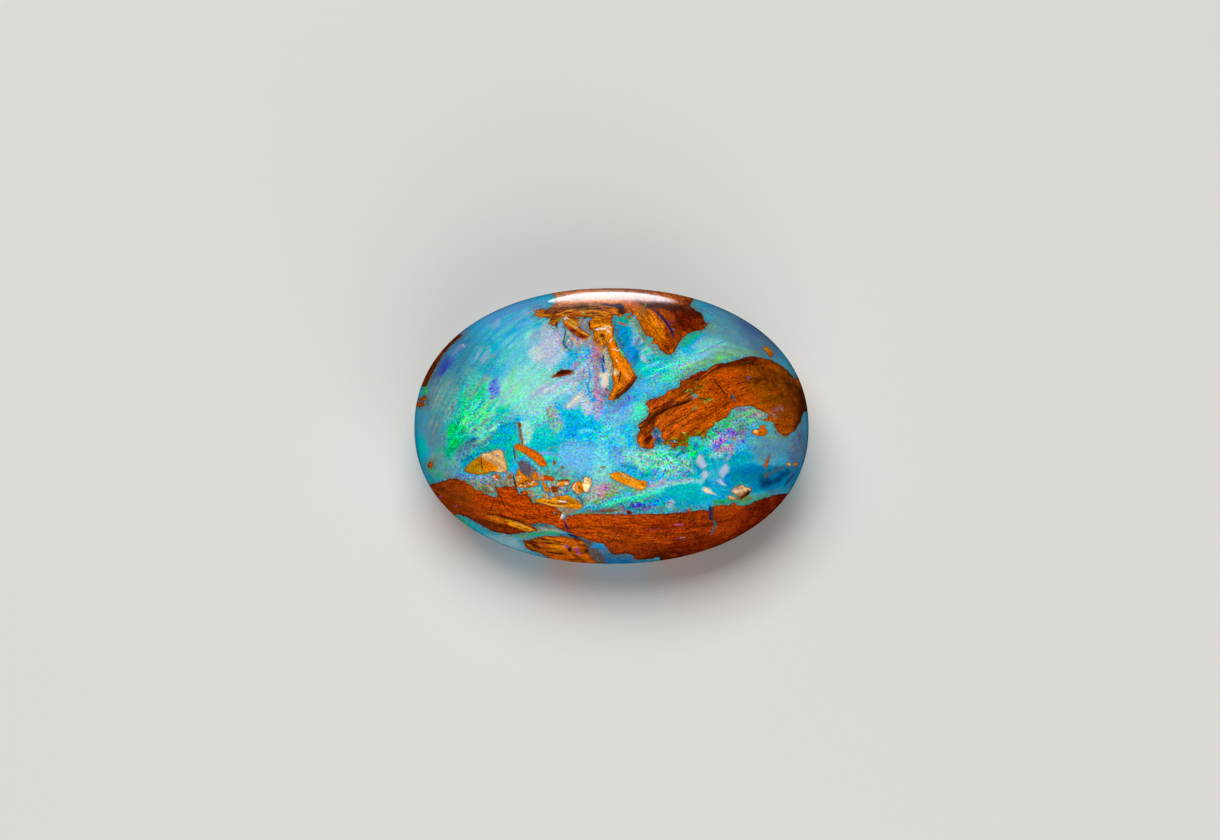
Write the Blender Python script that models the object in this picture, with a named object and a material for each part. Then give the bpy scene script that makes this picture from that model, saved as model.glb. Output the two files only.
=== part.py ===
"""Opalized wood, cut and polished as one oval stone.

Fossil wood whose cells and cracks have been filled by precious opal, ground to a
free-standing oval: a full, domed crown over a shallower rounded back, with a small
flat facet under it that the stone rests on. Wood and opal are one solid piece.

Frame: +Z up, +X along the stone's length, +Y away from its front. The origin is the
middle of the flat facet that the stone rests on. Lengths are in metres.
"""

from math import pi, tan

import bmesh
import bpy
from mathutils import Vector

MM = 0.001

# Driving dimensions
LENGTH = 20.0 * MM
WIDTH = 14.8 * MM
THICKNESS = 8.0 * MM
GIRDLE_HEIGHT = 3.2 * MM  # the stone is widest at this height above its facet
FACET_SHARE = 0.6  # the resting facet's length as a share of the stone's
OUTLINE_FULLNESS = 2.15  # superellipse exponent of the plan; 2 is a plain ellipse
DOME_FULLNESS = 2.3  # the same for the upright section

# Worked out from them
CROWN_HEIGHT = THICKNESS - GIRDLE_HEIGHT
BACK_DEPTH = GIRDLE_HEIGHT / (1 - FACET_SHARE**DOME_FULLNESS) ** (1 / DOME_FULLNESS)

CUTS_PER_EDGE = 21  # how finely the starting cube is divided before it is rounded
MERGE = 0.001 * MM

OPAL_BLUE = (0.16, 0.56, 0.66, 1.0)
POLISH_ROUGHNESS = 0.12


def clear_scene():
    for item in list(bpy.data.objects):
        bpy.data.objects.remove(item)


def stone_point(direction):
    """Where a ray from the middle of the girdle plane leaves the full stone."""
    depth = CROWN_HEIGHT if direction.z > 0 else BACK_DEPTH
    plan = (
        abs(direction.x / (LENGTH / 2)) ** OUTLINE_FULLNESS
        + abs(direction.y / (WIDTH / 2)) ** OUTLINE_FULLNESS
    )
    level = plan ** (DOME_FULLNESS / OUTLINE_FULLNESS)
    level += abs(direction.z / depth) ** DOME_FULLNESS
    return direction * level ** (-1 / DOME_FULLNESS)


def even_direction(corner):
    """A point of the 2 x 2 x 2 cube, turned into a ray, with even steps between the rays."""
    spread = [tan(c * pi / 4) for c in corner]
    unit = Vector(spread).normalized()
    return Vector((unit.x * LENGTH / 2, unit.y * WIDTH / 2, unit.z * CROWN_HEIGHT))


def round_stone():
    """A finely divided cube blown up to the stone's closed, rounded form."""
    shape = bmesh.new()
    bmesh.ops.create_cube(shape, size=2)
    bmesh.ops.subdivide_edges(
        shape, edges=shape.edges, cuts=CUTS_PER_EDGE, use_grid_fill=True
    )
    for vertex in shape.verts:
        vertex.co = stone_point(even_direction(vertex.co))
        vertex.co.z += GIRDLE_HEIGHT
    return shape


def grind_facet(shape):
    """Cuts the back off flat at z = 0 and closes it with the one flat face it rests on."""
    cut = bmesh.ops.bisect_plane(
        shape,
        geom=shape.verts[:] + shape.edges[:] + shape.faces[:],
        dist=MERGE,
        plane_co=(0, 0, 0),
        plane_no=(0, 0, 1),
        clear_inner=True,
    )
    rim = [item for item in cut["geom_cut"] if isinstance(item, bmesh.types.BMEdge)]
    bmesh.ops.edgeloop_fill(shape, edges=rim)
    bmesh.ops.remove_doubles(shape, verts=shape.verts, dist=MERGE)
    bmesh.ops.recalc_face_normals(shape, faces=shape.faces)


def polished_opal():
    material = bpy.data.materials.new("polished_opal")
    material.use_nodes = True
    shader = material.node_tree.nodes["Principled BSDF"]
    shader.inputs["Base Color"].default_value = OPAL_BLUE
    shader.inputs["Roughness"].default_value = POLISH_ROUGHNESS
    shader.inputs["Metallic"].default_value = 0.0
    return material


def make_stone():
    shape = round_stone()
    grind_facet(shape)
    mesh = bpy.data.meshes.new("opalized_wood_stone")
    shape.to_mesh(mesh)
    shape.free()
    mesh.materials.append(polished_opal())
    mesh.shade_smooth()
    mesh.set_sharp_from_angle(angle=pi / 10)
    stone = bpy.data.objects.new("opalized_wood_stone", mesh)
    bpy.context.scene.collection.objects.link(stone)
    return stone


clear_scene()
make_stone()
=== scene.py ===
# %% [markdown]
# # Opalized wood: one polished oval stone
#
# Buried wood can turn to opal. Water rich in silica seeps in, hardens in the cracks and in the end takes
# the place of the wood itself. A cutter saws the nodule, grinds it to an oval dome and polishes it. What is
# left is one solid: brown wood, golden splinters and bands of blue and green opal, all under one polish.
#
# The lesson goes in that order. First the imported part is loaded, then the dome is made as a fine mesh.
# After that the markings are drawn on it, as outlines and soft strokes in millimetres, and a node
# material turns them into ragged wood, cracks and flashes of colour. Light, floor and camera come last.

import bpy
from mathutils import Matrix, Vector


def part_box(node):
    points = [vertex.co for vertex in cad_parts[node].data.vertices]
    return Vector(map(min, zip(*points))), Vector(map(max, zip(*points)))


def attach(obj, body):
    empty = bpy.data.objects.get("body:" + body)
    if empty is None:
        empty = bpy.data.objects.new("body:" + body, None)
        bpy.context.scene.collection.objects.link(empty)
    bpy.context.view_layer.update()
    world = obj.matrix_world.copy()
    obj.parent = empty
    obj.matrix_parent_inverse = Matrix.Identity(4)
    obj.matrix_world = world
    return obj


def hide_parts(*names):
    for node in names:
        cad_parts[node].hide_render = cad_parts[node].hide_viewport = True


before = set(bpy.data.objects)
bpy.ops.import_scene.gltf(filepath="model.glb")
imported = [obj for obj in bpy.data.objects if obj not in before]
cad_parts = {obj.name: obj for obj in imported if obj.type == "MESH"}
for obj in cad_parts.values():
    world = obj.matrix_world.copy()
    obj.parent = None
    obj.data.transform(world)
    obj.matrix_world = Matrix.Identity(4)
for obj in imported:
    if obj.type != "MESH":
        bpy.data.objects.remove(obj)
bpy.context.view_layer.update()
print("packed nodes:", sorted(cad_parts))

# %% What Blender and numpy give
import itertools
import math

import bmesh
import bpy
import numpy as np
from mathutils import Matrix, Vector

MM = 0.001

# %% [markdown]
# ## The dome
#
# A cutter grinds the girdle first, an oval a little fuller than an ellipse, and then rounds the crown and
# the back down from it. The same two steps are in the formula: one power gives the oval, a second power
# gives the curve over the top. A cube of many small squares is blown up on to that shape. A ball with poles
# would crowd its points at two ends, and a cube spreads them evenly, which matters because the markings are
# kept in them. The flat ground under the stone is part of the formula too, and its edge is eased.

# %% The stone's sizes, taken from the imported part
low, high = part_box("opalized_wood_stone")
LENGTH, WIDTH, THICKNESS = high - low
GIRDLE_SHARE = 0.4
GIRDLE_HEIGHT = GIRDLE_SHARE * THICKNESS
CROWN_HEIGHT = THICKNESS - GIRDLE_HEIGHT
FACET_SHARE = 0.6
OUTLINE_FULLNESS = 2.15
DOME_FULLNESS = 2.3
BACK_DEPTH = GIRDLE_HEIGHT / (1 - FACET_SHARE**DOME_FULLNESS) ** (1 / DOME_FULLNESS)
print(f"stone {LENGTH / MM:.1f} x {WIDTH / MM:.1f} x {THICKNESS / MM:.1f} mm")

# %% The dome as a fine mesh
CUTS_PER_EDGE = 126
RIM_SHARPNESS = 45


def even_direction(corner):
    """The way out through a point of the cube, spread so that the squares come out alike."""
    spread = Vector([math.tan(c * math.pi / 4) for c in corner]).normalized()
    return Vector((spread.x * LENGTH / 2, spread.y * WIDTH / 2, spread.z * CROWN_HEIGHT))


def polished_point(way):
    """Where a line from the middle of the girdle meets the polished surface."""
    depth = CROWN_HEIGHT if way.z > 0 else BACK_DEPTH
    oval = abs(way.x / (LENGTH / 2)) ** OUTLINE_FULLNESS + abs(way.y / (WIDTH / 2)) ** OUTLINE_FULLNESS
    level = oval ** (DOME_FULLNESS / OUTLINE_FULLNESS) + abs(way.z / depth) ** DOME_FULLNESS
    dome = level ** (1 / DOME_FULLNESS)
    facet = max(0.0, -way.z / GIRDLE_HEIGHT)
    reach = (dome**RIM_SHARPNESS + facet**RIM_SHARPNESS) ** (-1 / RIM_SHARPNESS)
    return way * reach


def fine_dome():
    """The whole stone as one closed mesh of small squares."""
    dome = bmesh.new()
    bmesh.ops.create_cube(dome, size=2)
    bmesh.ops.subdivide_edges(dome, edges=dome.edges[:], cuts=CUTS_PER_EDGE, use_grid_fill=True)
    for vertex in dome.verts:
        vertex.co = polished_point(even_direction(vertex.co)) + Vector((0, 0, low.z + GIRDLE_HEIGHT))
    bmesh.ops.recalc_face_normals(dome, faces=dome.faces[:])
    mesh = bpy.data.meshes.new("opalized_wood")
    dome.to_mesh(mesh)
    dome.free()
    mesh.shade_smooth()
    return mesh


stone_mesh = fine_dome()
stone = bpy.data.objects.new("opalized_wood", stone_mesh)
bpy.context.scene.collection.objects.link(stone)
print("squares in the dome:", len(stone_mesh.polygons))

# %% [markdown]
# ## A drawing board for the markings
#
# The stone lies on its flat and is looked at from high in front. The markings are easiest to draw flat, as
# on a sheet of film held between the eye and the stone, so each point of the mesh gets its place on that
# sheet: `face_x` to the right and `face_y` upwards, in millimetres from the middle of the stone's outline.
# Points that the eye can't see are unfolded outwards past the outline, so a mark that reaches the rim
# carries on round it. The points also keep their place in the solid, for the grain, which runs through.

# %% Where the eye is
EYE_HEIGHT_ANGLE = math.radians(62)
EYE_DISTANCE = 272.0
OUTLINE_RISE = 0.046
PICTURE_MIDDLE = (-0.076, 0.305)
rightward = np.array((1.0, 0.0, 0.0))
to_eye = np.array((0.0, -math.cos(EYE_HEIGHT_ANGLE), math.sin(EYE_HEIGHT_ANGLE)))
upward = np.cross(to_eye, rightward)
outline_middle = np.array((0.0, 0.0, GIRDLE_HEIGHT / MM)) + OUTLINE_RISE * upward
looked_at = outline_middle + PICTURE_MIDDLE[0] * rightward + PICTURE_MIDDLE[1] * upward
eye = looked_at + EYE_DISTANCE * to_eye
print(f"eye {EYE_DISTANCE:.0f} mm away, {math.degrees(EYE_HEIGHT_ANGLE):.0f} degrees above the floor")

# %% The mesh as arrays, and each point's place on the sheet
points = np.empty(len(stone_mesh.vertices) * 3, np.float32)
stone_mesh.vertices.foreach_get("co", points)
points = points.reshape(-1, 3) / MM
normals = np.empty(len(stone_mesh.vertices) * 3, np.float32)
stone_mesh.vertex_normals.foreach_get("vector", normals)
normals = normals.reshape(-1, 3)
solid_x, solid_y, solid_z = ((points - outline_middle) @ way for way in (rightward, upward, to_eye))
nearer = EYE_DISTANCE / (EYE_DISTANCE - solid_z)
face_x = (solid_x - PICTURE_MIDDLE[0]) * nearer + PICTURE_MIDDLE[0]
face_y = (solid_y - PICTURE_MIDDLE[1]) * nearer + PICTURE_MIDDLE[1]
to_eye_here = (eye - points) / np.linalg.norm(eye - points, axis=1)[:, None]
facing = np.sum(normals * to_eye_here, axis=1)
print(f"points that the eye sees: {np.mean(facing > 0):.0%}")

# %% Unfolding the hidden side
RIM_STEPS = 720


def rim_share():
    """How far out each point lies, as a share of the outline's reach in its direction."""
    turn = np.arctan2(face_y, face_x)
    reach = np.hypot(face_x, face_y)
    step = ((turn + math.pi) / (2 * math.pi) * RIM_STEPS).astype(int) % RIM_STEPS
    rim = np.zeros(RIM_STEPS)
    np.maximum.at(rim, step, reach)
    middles = (np.arange(RIM_STEPS) + 0.5) / RIM_STEPS * 2 * math.pi - math.pi
    return reach / np.interp(turn, middles, rim, period=2 * math.pi)


LEAST_SHARE = 0.02
share = np.clip(rim_share(), LEAST_SHARE, 1.0)
unfold = np.where(facing < 0, (2 - share) / share, 1.0)
face_x *= unfold
face_y *= unfold
outwardness = np.where(facing < 0, 2 - share, share)
print(f"sheet {face_x[facing > 0].min():.2f}..{face_x[facing > 0].max():.2f} by "
      f"{face_y[facing > 0].min():.2f}..{face_y[facing > 0].max():.2f} mm")

# %% [markdown]
# ## Brushes
#
# Nothing in the stone has a ruled edge, so the brushes need something irregular to lean on. `mottle` gives
# smooth random values in the solid, from one fixed seed. `depth_inside` says how deep inside an outline
# each point lies, which is the most useful thing to know about an outline: zero is the edge, and the
# material can fray it, darken it or let it glow.

# %% Smooth random values in the solid
LATTICE = np.random.default_rng(7).random((48, 48, 48))


def mottle(x, y, z, size):
    """Random values from 0 to 1 that change smoothly over about size millimetres."""
    place = np.stack((x, y, z)) / size
    cell = np.floor(place).astype(int)
    part = place - cell
    part = part * part * (3 - 2 * part)
    value = np.zeros(len(x))
    for corner in itertools.product((0, 1), repeat=3):
        weight = np.ones(len(x))
        for axis, step in enumerate(corner):
            weight *= part[axis] if step else 1 - part[axis]
        spot = [(cell[axis] + step) % len(LATTICE) for axis, step in enumerate(corner)]
        value += weight * LATTICE[tuple(spot)]
    return value


WIDE_SWING, NARROW_SWING = 0.75, 0.26


def wander(shift, coarse, fine):
    """A swing in two sizes, coarse and fine mm to each side, by which a soft edge is led astray."""
    wide = mottle(solid_x + shift, solid_y, solid_z, WIDE_SWING) - 0.5
    narrow = mottle(solid_x, solid_y + shift, solid_z, NARROW_SWING) - 0.5
    return 2 * (coarse * wide + fine * narrow)


astray_x = wander(11, 0.30, 0.16)
astray_y = wander(23, 0.30, 0.16)
print(f"edges wander up to {np.abs(astray_x).max():.2f} mm")

# %% Outlines and lines
BEYOND = 3.0


def line_distance(corners, closed):
    """How far each point is from a line, on which side, and at what share of its length."""
    ends = corners[1:] + corners[:1] if closed else corners[1:]
    best = np.full(len(face_x), BEYOND**2)
    side = np.full(len(face_x), BEYOND)
    along = np.zeros(len(face_x))
    run = 0.0
    for (ax, ay), (bx, by) in zip(corners, ends):
        dx, dy = bx - ax, by - ay
        length = math.hypot(dx, dy)
        part = np.clip(((face_x - ax) * dx + (face_y - ay) * dy) / length**2, 0, 1)
        gap = (face_x - ax - part * dx) ** 2 + (face_y - ay - part * dy) ** 2
        closer = gap < best
        best[closer] = gap[closer]
        turn = (face_x - ax) * dy - (face_y - ay) * dx
        side[closer] = (np.sign(turn) * np.sqrt(gap))[closer]
        along[closer] = (run + part * length)[closer]
        run += length
    return np.sqrt(best), side, along / run


def depth_inside(corners):
    """How deep inside an outline each point lies, in mm, and less than zero outside it."""
    inside = np.zeros(len(face_x), bool)
    for (ax, ay), (bx, by) in zip(corners, corners[1:] + corners[:1]):
        if ay != by:
            crosses = (ay > face_y) != (by > face_y)
            inside ^= crosses & (face_x < ax + (face_y - ay) * (bx - ax) / (by - ay))
    distance = line_distance(corners, closed=True)[0]
    return np.where(inside, distance, -distance)


# %% [markdown]
# ## Paints
#
# The colours have names, as in a paint box. Opal has no pigment: its colour is light split by tiny stacked
# balls of silica, and a flash changes from green to blue to violet within a millimetre. A fixed set of
# strong, clean tints laid over each other in thin coats comes close to that, and the wood gets its own earth
# colours. Each brush lays a coat on a layer, over what is already there: a cloud is a soft oval, a stroke
# follows a line, and a plate fills an outline up to a crisp edge.

# %% The paint box
PAINTS = {
    # opal, blue
    "sky": (66, 178, 216), "pale sky": (120, 205, 224), "azure": (20, 150, 222), "cyan": (16, 186, 230),
    "powder": (118, 184, 226), "cobalt": (8, 96, 176), "petrol": (0, 108, 160), "navy": (4, 34, 82),
    "storm": (72, 92, 158), "iris": (112, 148, 214), "indigo": (64, 54, 190),
    # opal, green
    "teal": (0, 150, 166), "lagoon": (0, 104, 128), "aqua": (20, 196, 200), "jade": (0, 180, 140),
    "fern": (24, 214, 122), "emerald": (8, 212, 86), "leaf": (10, 168, 92), "mint": (96, 226, 178),
    "lime": (128, 226, 96), "ice": (150, 244, 222), "foam": (158, 222, 208),
    # opal, violet and red
    "lilac": (168, 170, 216), "violet": (112, 78, 206), "grape": (88, 12, 240),
    "magenta": (176, 70, 190), "mauve": (168, 116, 150), "rose": (188, 150, 182), "wine": (112, 24, 66),
    # haze, milk and pearl
    "haze": (96, 138, 160), "dusk": (84, 104, 138), "slate": (70, 126, 148), "sage": (112, 158, 134),
    "moss": (104, 142, 78), "beige": (168, 162, 148), "pearl": (186, 196, 216), "milk": (206, 222, 224),
    "whey": (138, 178, 190), "shell": (232, 212, 192), "cream": (250, 226, 176), "white": (255, 244, 230),
    "peach": (214, 178, 130),
    # wood
    "straw": (255, 184, 56), "gold": (234, 142, 10), "honey": (222, 116, 6), "amber": (218, 120, 8),
    "orange": (204, 88, 2), "rust": (184, 62, 2), "tan": (172, 122, 60), "olive": (112, 62, 10),
    "umber": (122, 44, 8), "oxblood": (96, 16, 6), "bark": (54, 16, 6), "cherry": (46, 9, 3),
    "plum": (92, 64, 62), "pine": (38, 70, 18),
}


def light_of(paint):
    """A named paint as the linear light that Blender's shader reckons with."""
    tone = np.array(PAINTS[paint]) / 255
    return np.where(tone > 0.04045, ((tone + 0.055) / 1.055) ** 2.4, tone / 12.92)


def lay(layer, paint, weight):
    """Lays a coat of paint on a layer, as thick as the weight says."""
    layer += weight[:, None] * (light_of(paint) - layer)


# %% The brushes
LOOSE_FROM = 0.5


def soft_oval(x, y, long, wide, turn):
    """How strongly a soft oval covers each point. The larger it is, the more its edge wanders."""
    c, s = math.cos(math.radians(turn)), math.sin(math.radians(turn))
    loose = min(1.0, wide / LOOSE_FROM)
    dx, dy = face_x + loose * astray_x - x, face_y + loose * astray_y - y
    out = ((dx * c + dy * s) / long) ** 2 + ((dy * c - dx * s) / wide) ** 2
    return np.exp(-out * out)


def cloud(layer, paint, x, y, long, wide, turn, thick):
    """A soft patch of paint, long by wide mm to where it fades, turned by turn degrees."""
    lay(layer, paint, thick * soft_oval(x, y, long, wide, turn))


STROKE_SWING = 0.3


def stroke(layer, paint, wide, thick, line):
    """A soft line of paint, wide mm from its middle to where it fades."""
    distance = line_distance(line, closed=False)[0] + STROKE_SWING * wander(37, 0, wide)
    lay(layer, paint, thick * np.exp(-((distance / wide) ** 2)))


SOFT_EDGE = 0.08
plate_swing = 0.5 * wander(31, 0.08, 0.14)


def plate(layer, paint, thick, corners):
    """A flat patch of paint inside an outline, crisp and a little ragged at its edge."""
    inside = np.clip((depth_inside(corners) + plate_swing) / SOFT_EDGE + 0.5, 0, 1)
    lay(layer, paint, thick * inside)


def blank(paint):
    """A layer of one paint all over."""
    return np.tile(light_of(paint), (len(face_x), 1))


opal_colour = blank("sky")
wood_colour = blank("rust")
print("paints:", len(PAINTS))

# %% [markdown]
# ## The wood
#
# The brown patches are what is left of the wood. They keep their grain, which opal has crept into along the
# edges. Each patch is an outline drawn with only the corners that its shape needs, since the
# material frays the edge afterwards. A patch also says which way its grain runs and how much it bends. The
# grain is kept as a place in the solid, along and across the fibres, so it goes through the stone.

# %% How a piece of wood is laid in
wood_depth = np.full(len(face_x), -BEYOND)
grain = np.stack((solid_x, solid_y, solid_z), axis=1)
grain_strength = np.zeros(len(face_x))
painted_glint = np.zeros(len(face_x))
CRISP = 3.0
PAINT_BEYOND = 0.6


def wood_piece(corners, paint, slope=0, bend=0.0, bend_at=0.0, fibres=1.0, painted_glints=0.0, on_top=False):
    """Lays in a piece of wood: its outline, its paint, how its grain runs and bends, and how much painted
    highlight it gets.
    """
    depth = depth_inside(corners) * (CRISP if on_top else 1.0)
    mine = depth > (0.0 if on_top else np.maximum(wood_depth, -PAINT_BEYOND))
    c, s = math.cos(math.radians(slope)), math.sin(math.radians(slope))
    along = solid_x * c + solid_y * s
    across = solid_y * c - solid_x * s - bend * (along - bend_at) ** 2
    grain[mine] = np.stack((along, across, solid_z), axis=1)[mine]
    grain_strength[mine] = fibres
    # the glint amount sets how much painted highlight the shader lays along this piece's fibres
    painted_glint[mine] = painted_glints
    wood_colour[mine] = light_of(paint)
    wood_depth[:] = np.maximum(wood_depth, depth)


# %% The long band along the foot of the stone
BAND = [
    (-11.5, -3.6), (-9.15, -2.95), (-8.6, -2.8), (-8.2, -2.65), (-7.9, -2.65), (-7.5, -2.8), (-7.1, -3.05),
    (-6.7, -3.3), (-6.3, -3.5), (-5.9, -3.62), (-5.74, -3.55), (-5.75, -3.15), (-5.5, -3), (-4.9, -3.15),
    (-4.5, -3.35), (-4.25, -3.6), (-3.95, -3.85), (-3.4, -3.97), (-3, -4.1), (-2.7, -4.28), (-2.42, -4.55),
    (-2.2, -4.5), (-1.9, -4.42), (-0.5, -4.45), (1, -4.47), (3, -4.42), (3.9, -4.35), (4.5, -4.25),
    (4.95, -4.28), (5.25, -4.05), (6, -3.95), (6.5, -4), (7, -3.9), (7.5, -3.75), (8, -3.55), (8.5, -3.45),
    (8.95, -3.4), (11, -4.3), (13, -7.5), (9, -10), (3.4, -9.6), (2.4, -6.65), (2, -6.75), (1.4, -6.8),
    (1.1, -6.75), (1.1, -6.55), (0.6, -6.5), (0.2, -6.57), (0, -6.5), (-0.15, -6.3), (-0.4, -6),
    (-1.1, -5.85), (-1.5, -5.7), (-2.4, -5.35), (-3, -5.05), (-3.6, -4.93), (-4.1, -5), (-3.6, -5.36),
    (-4.4, -5.42), (-5.1, -5.52), (-6, -5.38), (-6.5, -5.12), (-6.9, -4.88), (-7.4, -4.62), (-7.85, -4.48),
    (-9.6, -6), (-12.5, -6.5),
]
wood_piece(BAND, "rust", slope=-1, bend=0.012, bend_at=1.0, fibres=0.8)
print("corners of the band:", len(BAND))

# %% The low piece of golden wood at the foot
LOW_WOOD = [
    (-4.52, -5.8), (-4.1, -5.76), (-3.8, -5.64), (-3.3, -5.56), (-2.3, -5.6), (-1.95, -5.7), (-1.6, -5.68),
    (-1.45, -5.85), (-1.2, -6.1), (-1.15, -6.4), (-1, -6.65), (-0.7, -6.95), (-0.6, -8.4), (-3.6, -8.6),
    (-3.2, -6.7), (-3.6, -6.48), (-4, -6.38), (-4.32, -6.24), (-4.42, -6.05),
]
wood_piece(LOW_WOOD, "orange", slope=-14, bend=0.05, bend_at=-2.4, fibres=0.6, painted_glints=0.2)
print("corners of the low wood:", len(LOW_WOOD))

# %% The crown of wood at the top left, with the leg that hangs from it
CROWN = [
    (-3.92, 5.6), (-3.9, 5.9), (-3.6, 5.98), (-3.3, 5.88), (-3.05, 6.05), (-2.8, 6.5), (-3.3, 7),
    (-2.7, 7.4), (-2, 7.2), (-1.5, 8), (-0.4, 7.6), (0.3, 8.6), (0.9, 7.9), (0.45, 7.2), (0.8, 6.7),
    (0.65, 6.2), (0.6, 5.7), (0.35, 5.66), (0.05, 5.6), (0.05, 4.9), (-1.08, 4.85), (-1.12, 5.05),
    (-1.18, 5.36), (-1.48, 5.46), (-1.73, 5.42), (-2.07, 5.52), (-2.4, 5.5), (-2.65, 5.3), (-2.85, 4.98),
    (-3.02, 5.08), (-3.2, 5.36), (-3.55, 5.45),
]
LEG = [
    (0.08, 5.2), (0.15, 4.8), (0.16, 4.5), (0.33, 4.1), (0.62, 3.6), (0.95, 3.2), (1.12, 2.74), (1.34, 2.5),
    (1.2, 2.25), (0.86, 1.82), (0.4, 1.44), (0, 1.22), (-0.2, 1.4), (-0.02, 1.78), (0.1, 2.1), (0.02, 2.45),
    (0.06, 2.87), (0.04, 3.1), (-0.06, 3.5), (-0.22, 3.87), (-0.5, 4.12), (-0.75, 4.3), (-0.92, 4.6),
    (-1, 4.9),
]
wood_piece(CROWN, "honey", slope=4, bend=-0.03, bend_at=-1.0, fibres=0.7)
wood_piece(LEG, "honey", slope=-62, bend=0.10, bend_at=-2.4, fibres=0.6)
print("corners of the crown and the leg:", len(CROWN), len(LEG))

# %% The wood at the top right
TOP_RIGHT = [
    (0.5, 7.9), (0.1, 7.2), (0.4, 6.7), (0.3, 6.2), (0.6, 5.8), (0.75, 5.65), (1.1, 5.55), (1.25, 5.4),
    (1.45, 5.1), (1.6, 4.85), (1.75, 4.6), (2, 4.35), (2.2, 4.15), (2.35, 3.95), (2.6, 3.75), (2.75, 3.58),
    (3, 3.6), (3.15, 3.7), (3.3, 3.95), (3.45, 4.2), (3.6, 4.45), (3.9, 4.65), (4.2, 4.8), (4.6, 4.85),
    (4.75, 4.95), (4.92, 5.18), (4.72, 5.3), (4.68, 5.5), (4.55, 5.75), (4.3, 5.85), (4, 6.1), (4.2, 6.5),
    (3.4, 6.8), (3.5, 7.3), (2.7, 7.3), (2.4, 8), (1.5, 7.7),
]
wood_piece(TOP_RIGHT, "orange", slope=-48, bend=0.03, bend_at=0.0, fibres=0.8)
print("corners of the top right wood:", len(TOP_RIGHT))

# %% The big patch on the right
RIGHT_WOOD = [
    (1.3, -0.85), (1.25, -0.55), (1.45, -0.2), (1.35, 0.05), (1.5, 0.2), (1.75, 0.4), (1.9, 0.65),
    (1.85, 0.9), (1.7, 1.15), (1.9, 1.35), (2.3, 1.45), (2.7, 1.6), (2.9, 1.85), (3.3, 1.9), (3.45, 2),
    (3.45, 2.25), (4, 2.5), (4.5, 2.75), (4.9, 2.95), (5.3, 3.15), (6, 3.25), (6.6, 3.45), (7.05, 3.57),
    (7.5, 3.5), (8.1, 3.35), (8.6, 3.1), (9, 2.8), (9.3, 2.4), (10.3, 3), (11, 4), (11.8, 3.4), (12.2, 1.6),
    (11.4, 0.2), (10.6, 0.9), (9.75, 0.7), (9.62, 0.2), (9.3, -0.25), (8.9, -0.55), (8.6, -0.45),
    (8.4, -0.3), (8.4, 0.1), (8.1, 0.3), (7.85, 0.5), (7.7, 0.75), (7.4, 0.85), (7.1, 1), (6.4, 0.98),
    (6.1, 0.8), (5.9, 0.5), (5.6, 0.3), (5.3, 0), (5, -0.25), (4.8, -0.5), (4.5, -0.6), (4, -0.75),
    (3.5, -1), (3, -0.95), (2.7, -0.75), (2.45, -0.3), (2.3, -0.05), (2.15, -0.45), (2.25, -0.8),
    (2.1, -1.1), (1.8, -1.2), (1.5, -1.1),
]
wood_piece(RIGHT_WOOD, "orange", slope=24, bend=-0.055, bend_at=5.0, fibres=0.75)
print("corners of the right patch:", len(RIGHT_WOOD))

# %% The brown crescent at the left rim and what breaks off beside it
LEFT_CRESCENT = [
    (-7.55, 4.62), (-7.9, 4.32), (-8.3, 3.9), (-8.6, 3.55), (-8.85, 3.1), (-9.1, 2.6), (-9.3, 2.2),
    (-9.42, 1.95), (-9.7, 2.05), (-9.85, 2.5), (-9.9, 3), (-9.5, 3.4), (-9.3, 3.85), (-8.75, 4.1),
    (-8.25, 4.4), (-7.75, 4.68),
]
LEFT_BITS = [
    [(-9.52, 1.55), (-9.38, 1.55), (-9.36, 1.35), (-9.5, 1.25), (-9.9, 1.3)],
    [(-9.62, 1.25), (-9.5, 1.2), (-9.5, 1.0), (-9.7, 0.95), (-10.6, 1.1)],
    [(-9.35, -1.9), (-9.05, -1.75), (-9.08, -2.1), (-9.3, -2.15)],
]
wood_piece(LEFT_CRESCENT, "umber", slope=60)
for bit in LEFT_BITS:
    wood_piece(bit, "orange", slope=70, fibres=0.4)
print("bits at the left rim:", len(LEFT_BITS))

# %% Where the wood is polished smooth and shows little grain
SMOOTH_WOOD = [
    # x, y, reach across, reach up
    (8.8, 1.6, 1.7, 2.4), (-7.6, -3.8, 1.6, 1.0), (7.2, -4.8, 1.9, 1.3),
]
SMOOTHING = 0.85
for x, y, reach_x, reach_y in SMOOTH_WOOD:
    out = ((face_x - x) / reach_x) ** 2 + ((face_y - y) / reach_y) ** 2
    grain_strength *= 1 - SMOOTHING * np.exp(-out)
print(f"points inside wood so far: {np.count_nonzero(wood_depth > 0)}")

# %% [markdown]
# ## Splinters and chips
#
# Between the large patches float small bits of wood, each of its own colour: gold where light comes back out
# of them, cream where they are almost opal, dark where they are still wood. They are made just like the large
# pieces, from a list with one row for each chip, which also says how much painted highlight the chip gets.

# %% The chips
def pairs(numbers):
    """Points from a row of numbers, x and y by turns."""
    return list(zip(numbers[::2], numbers[1::2]))


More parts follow.
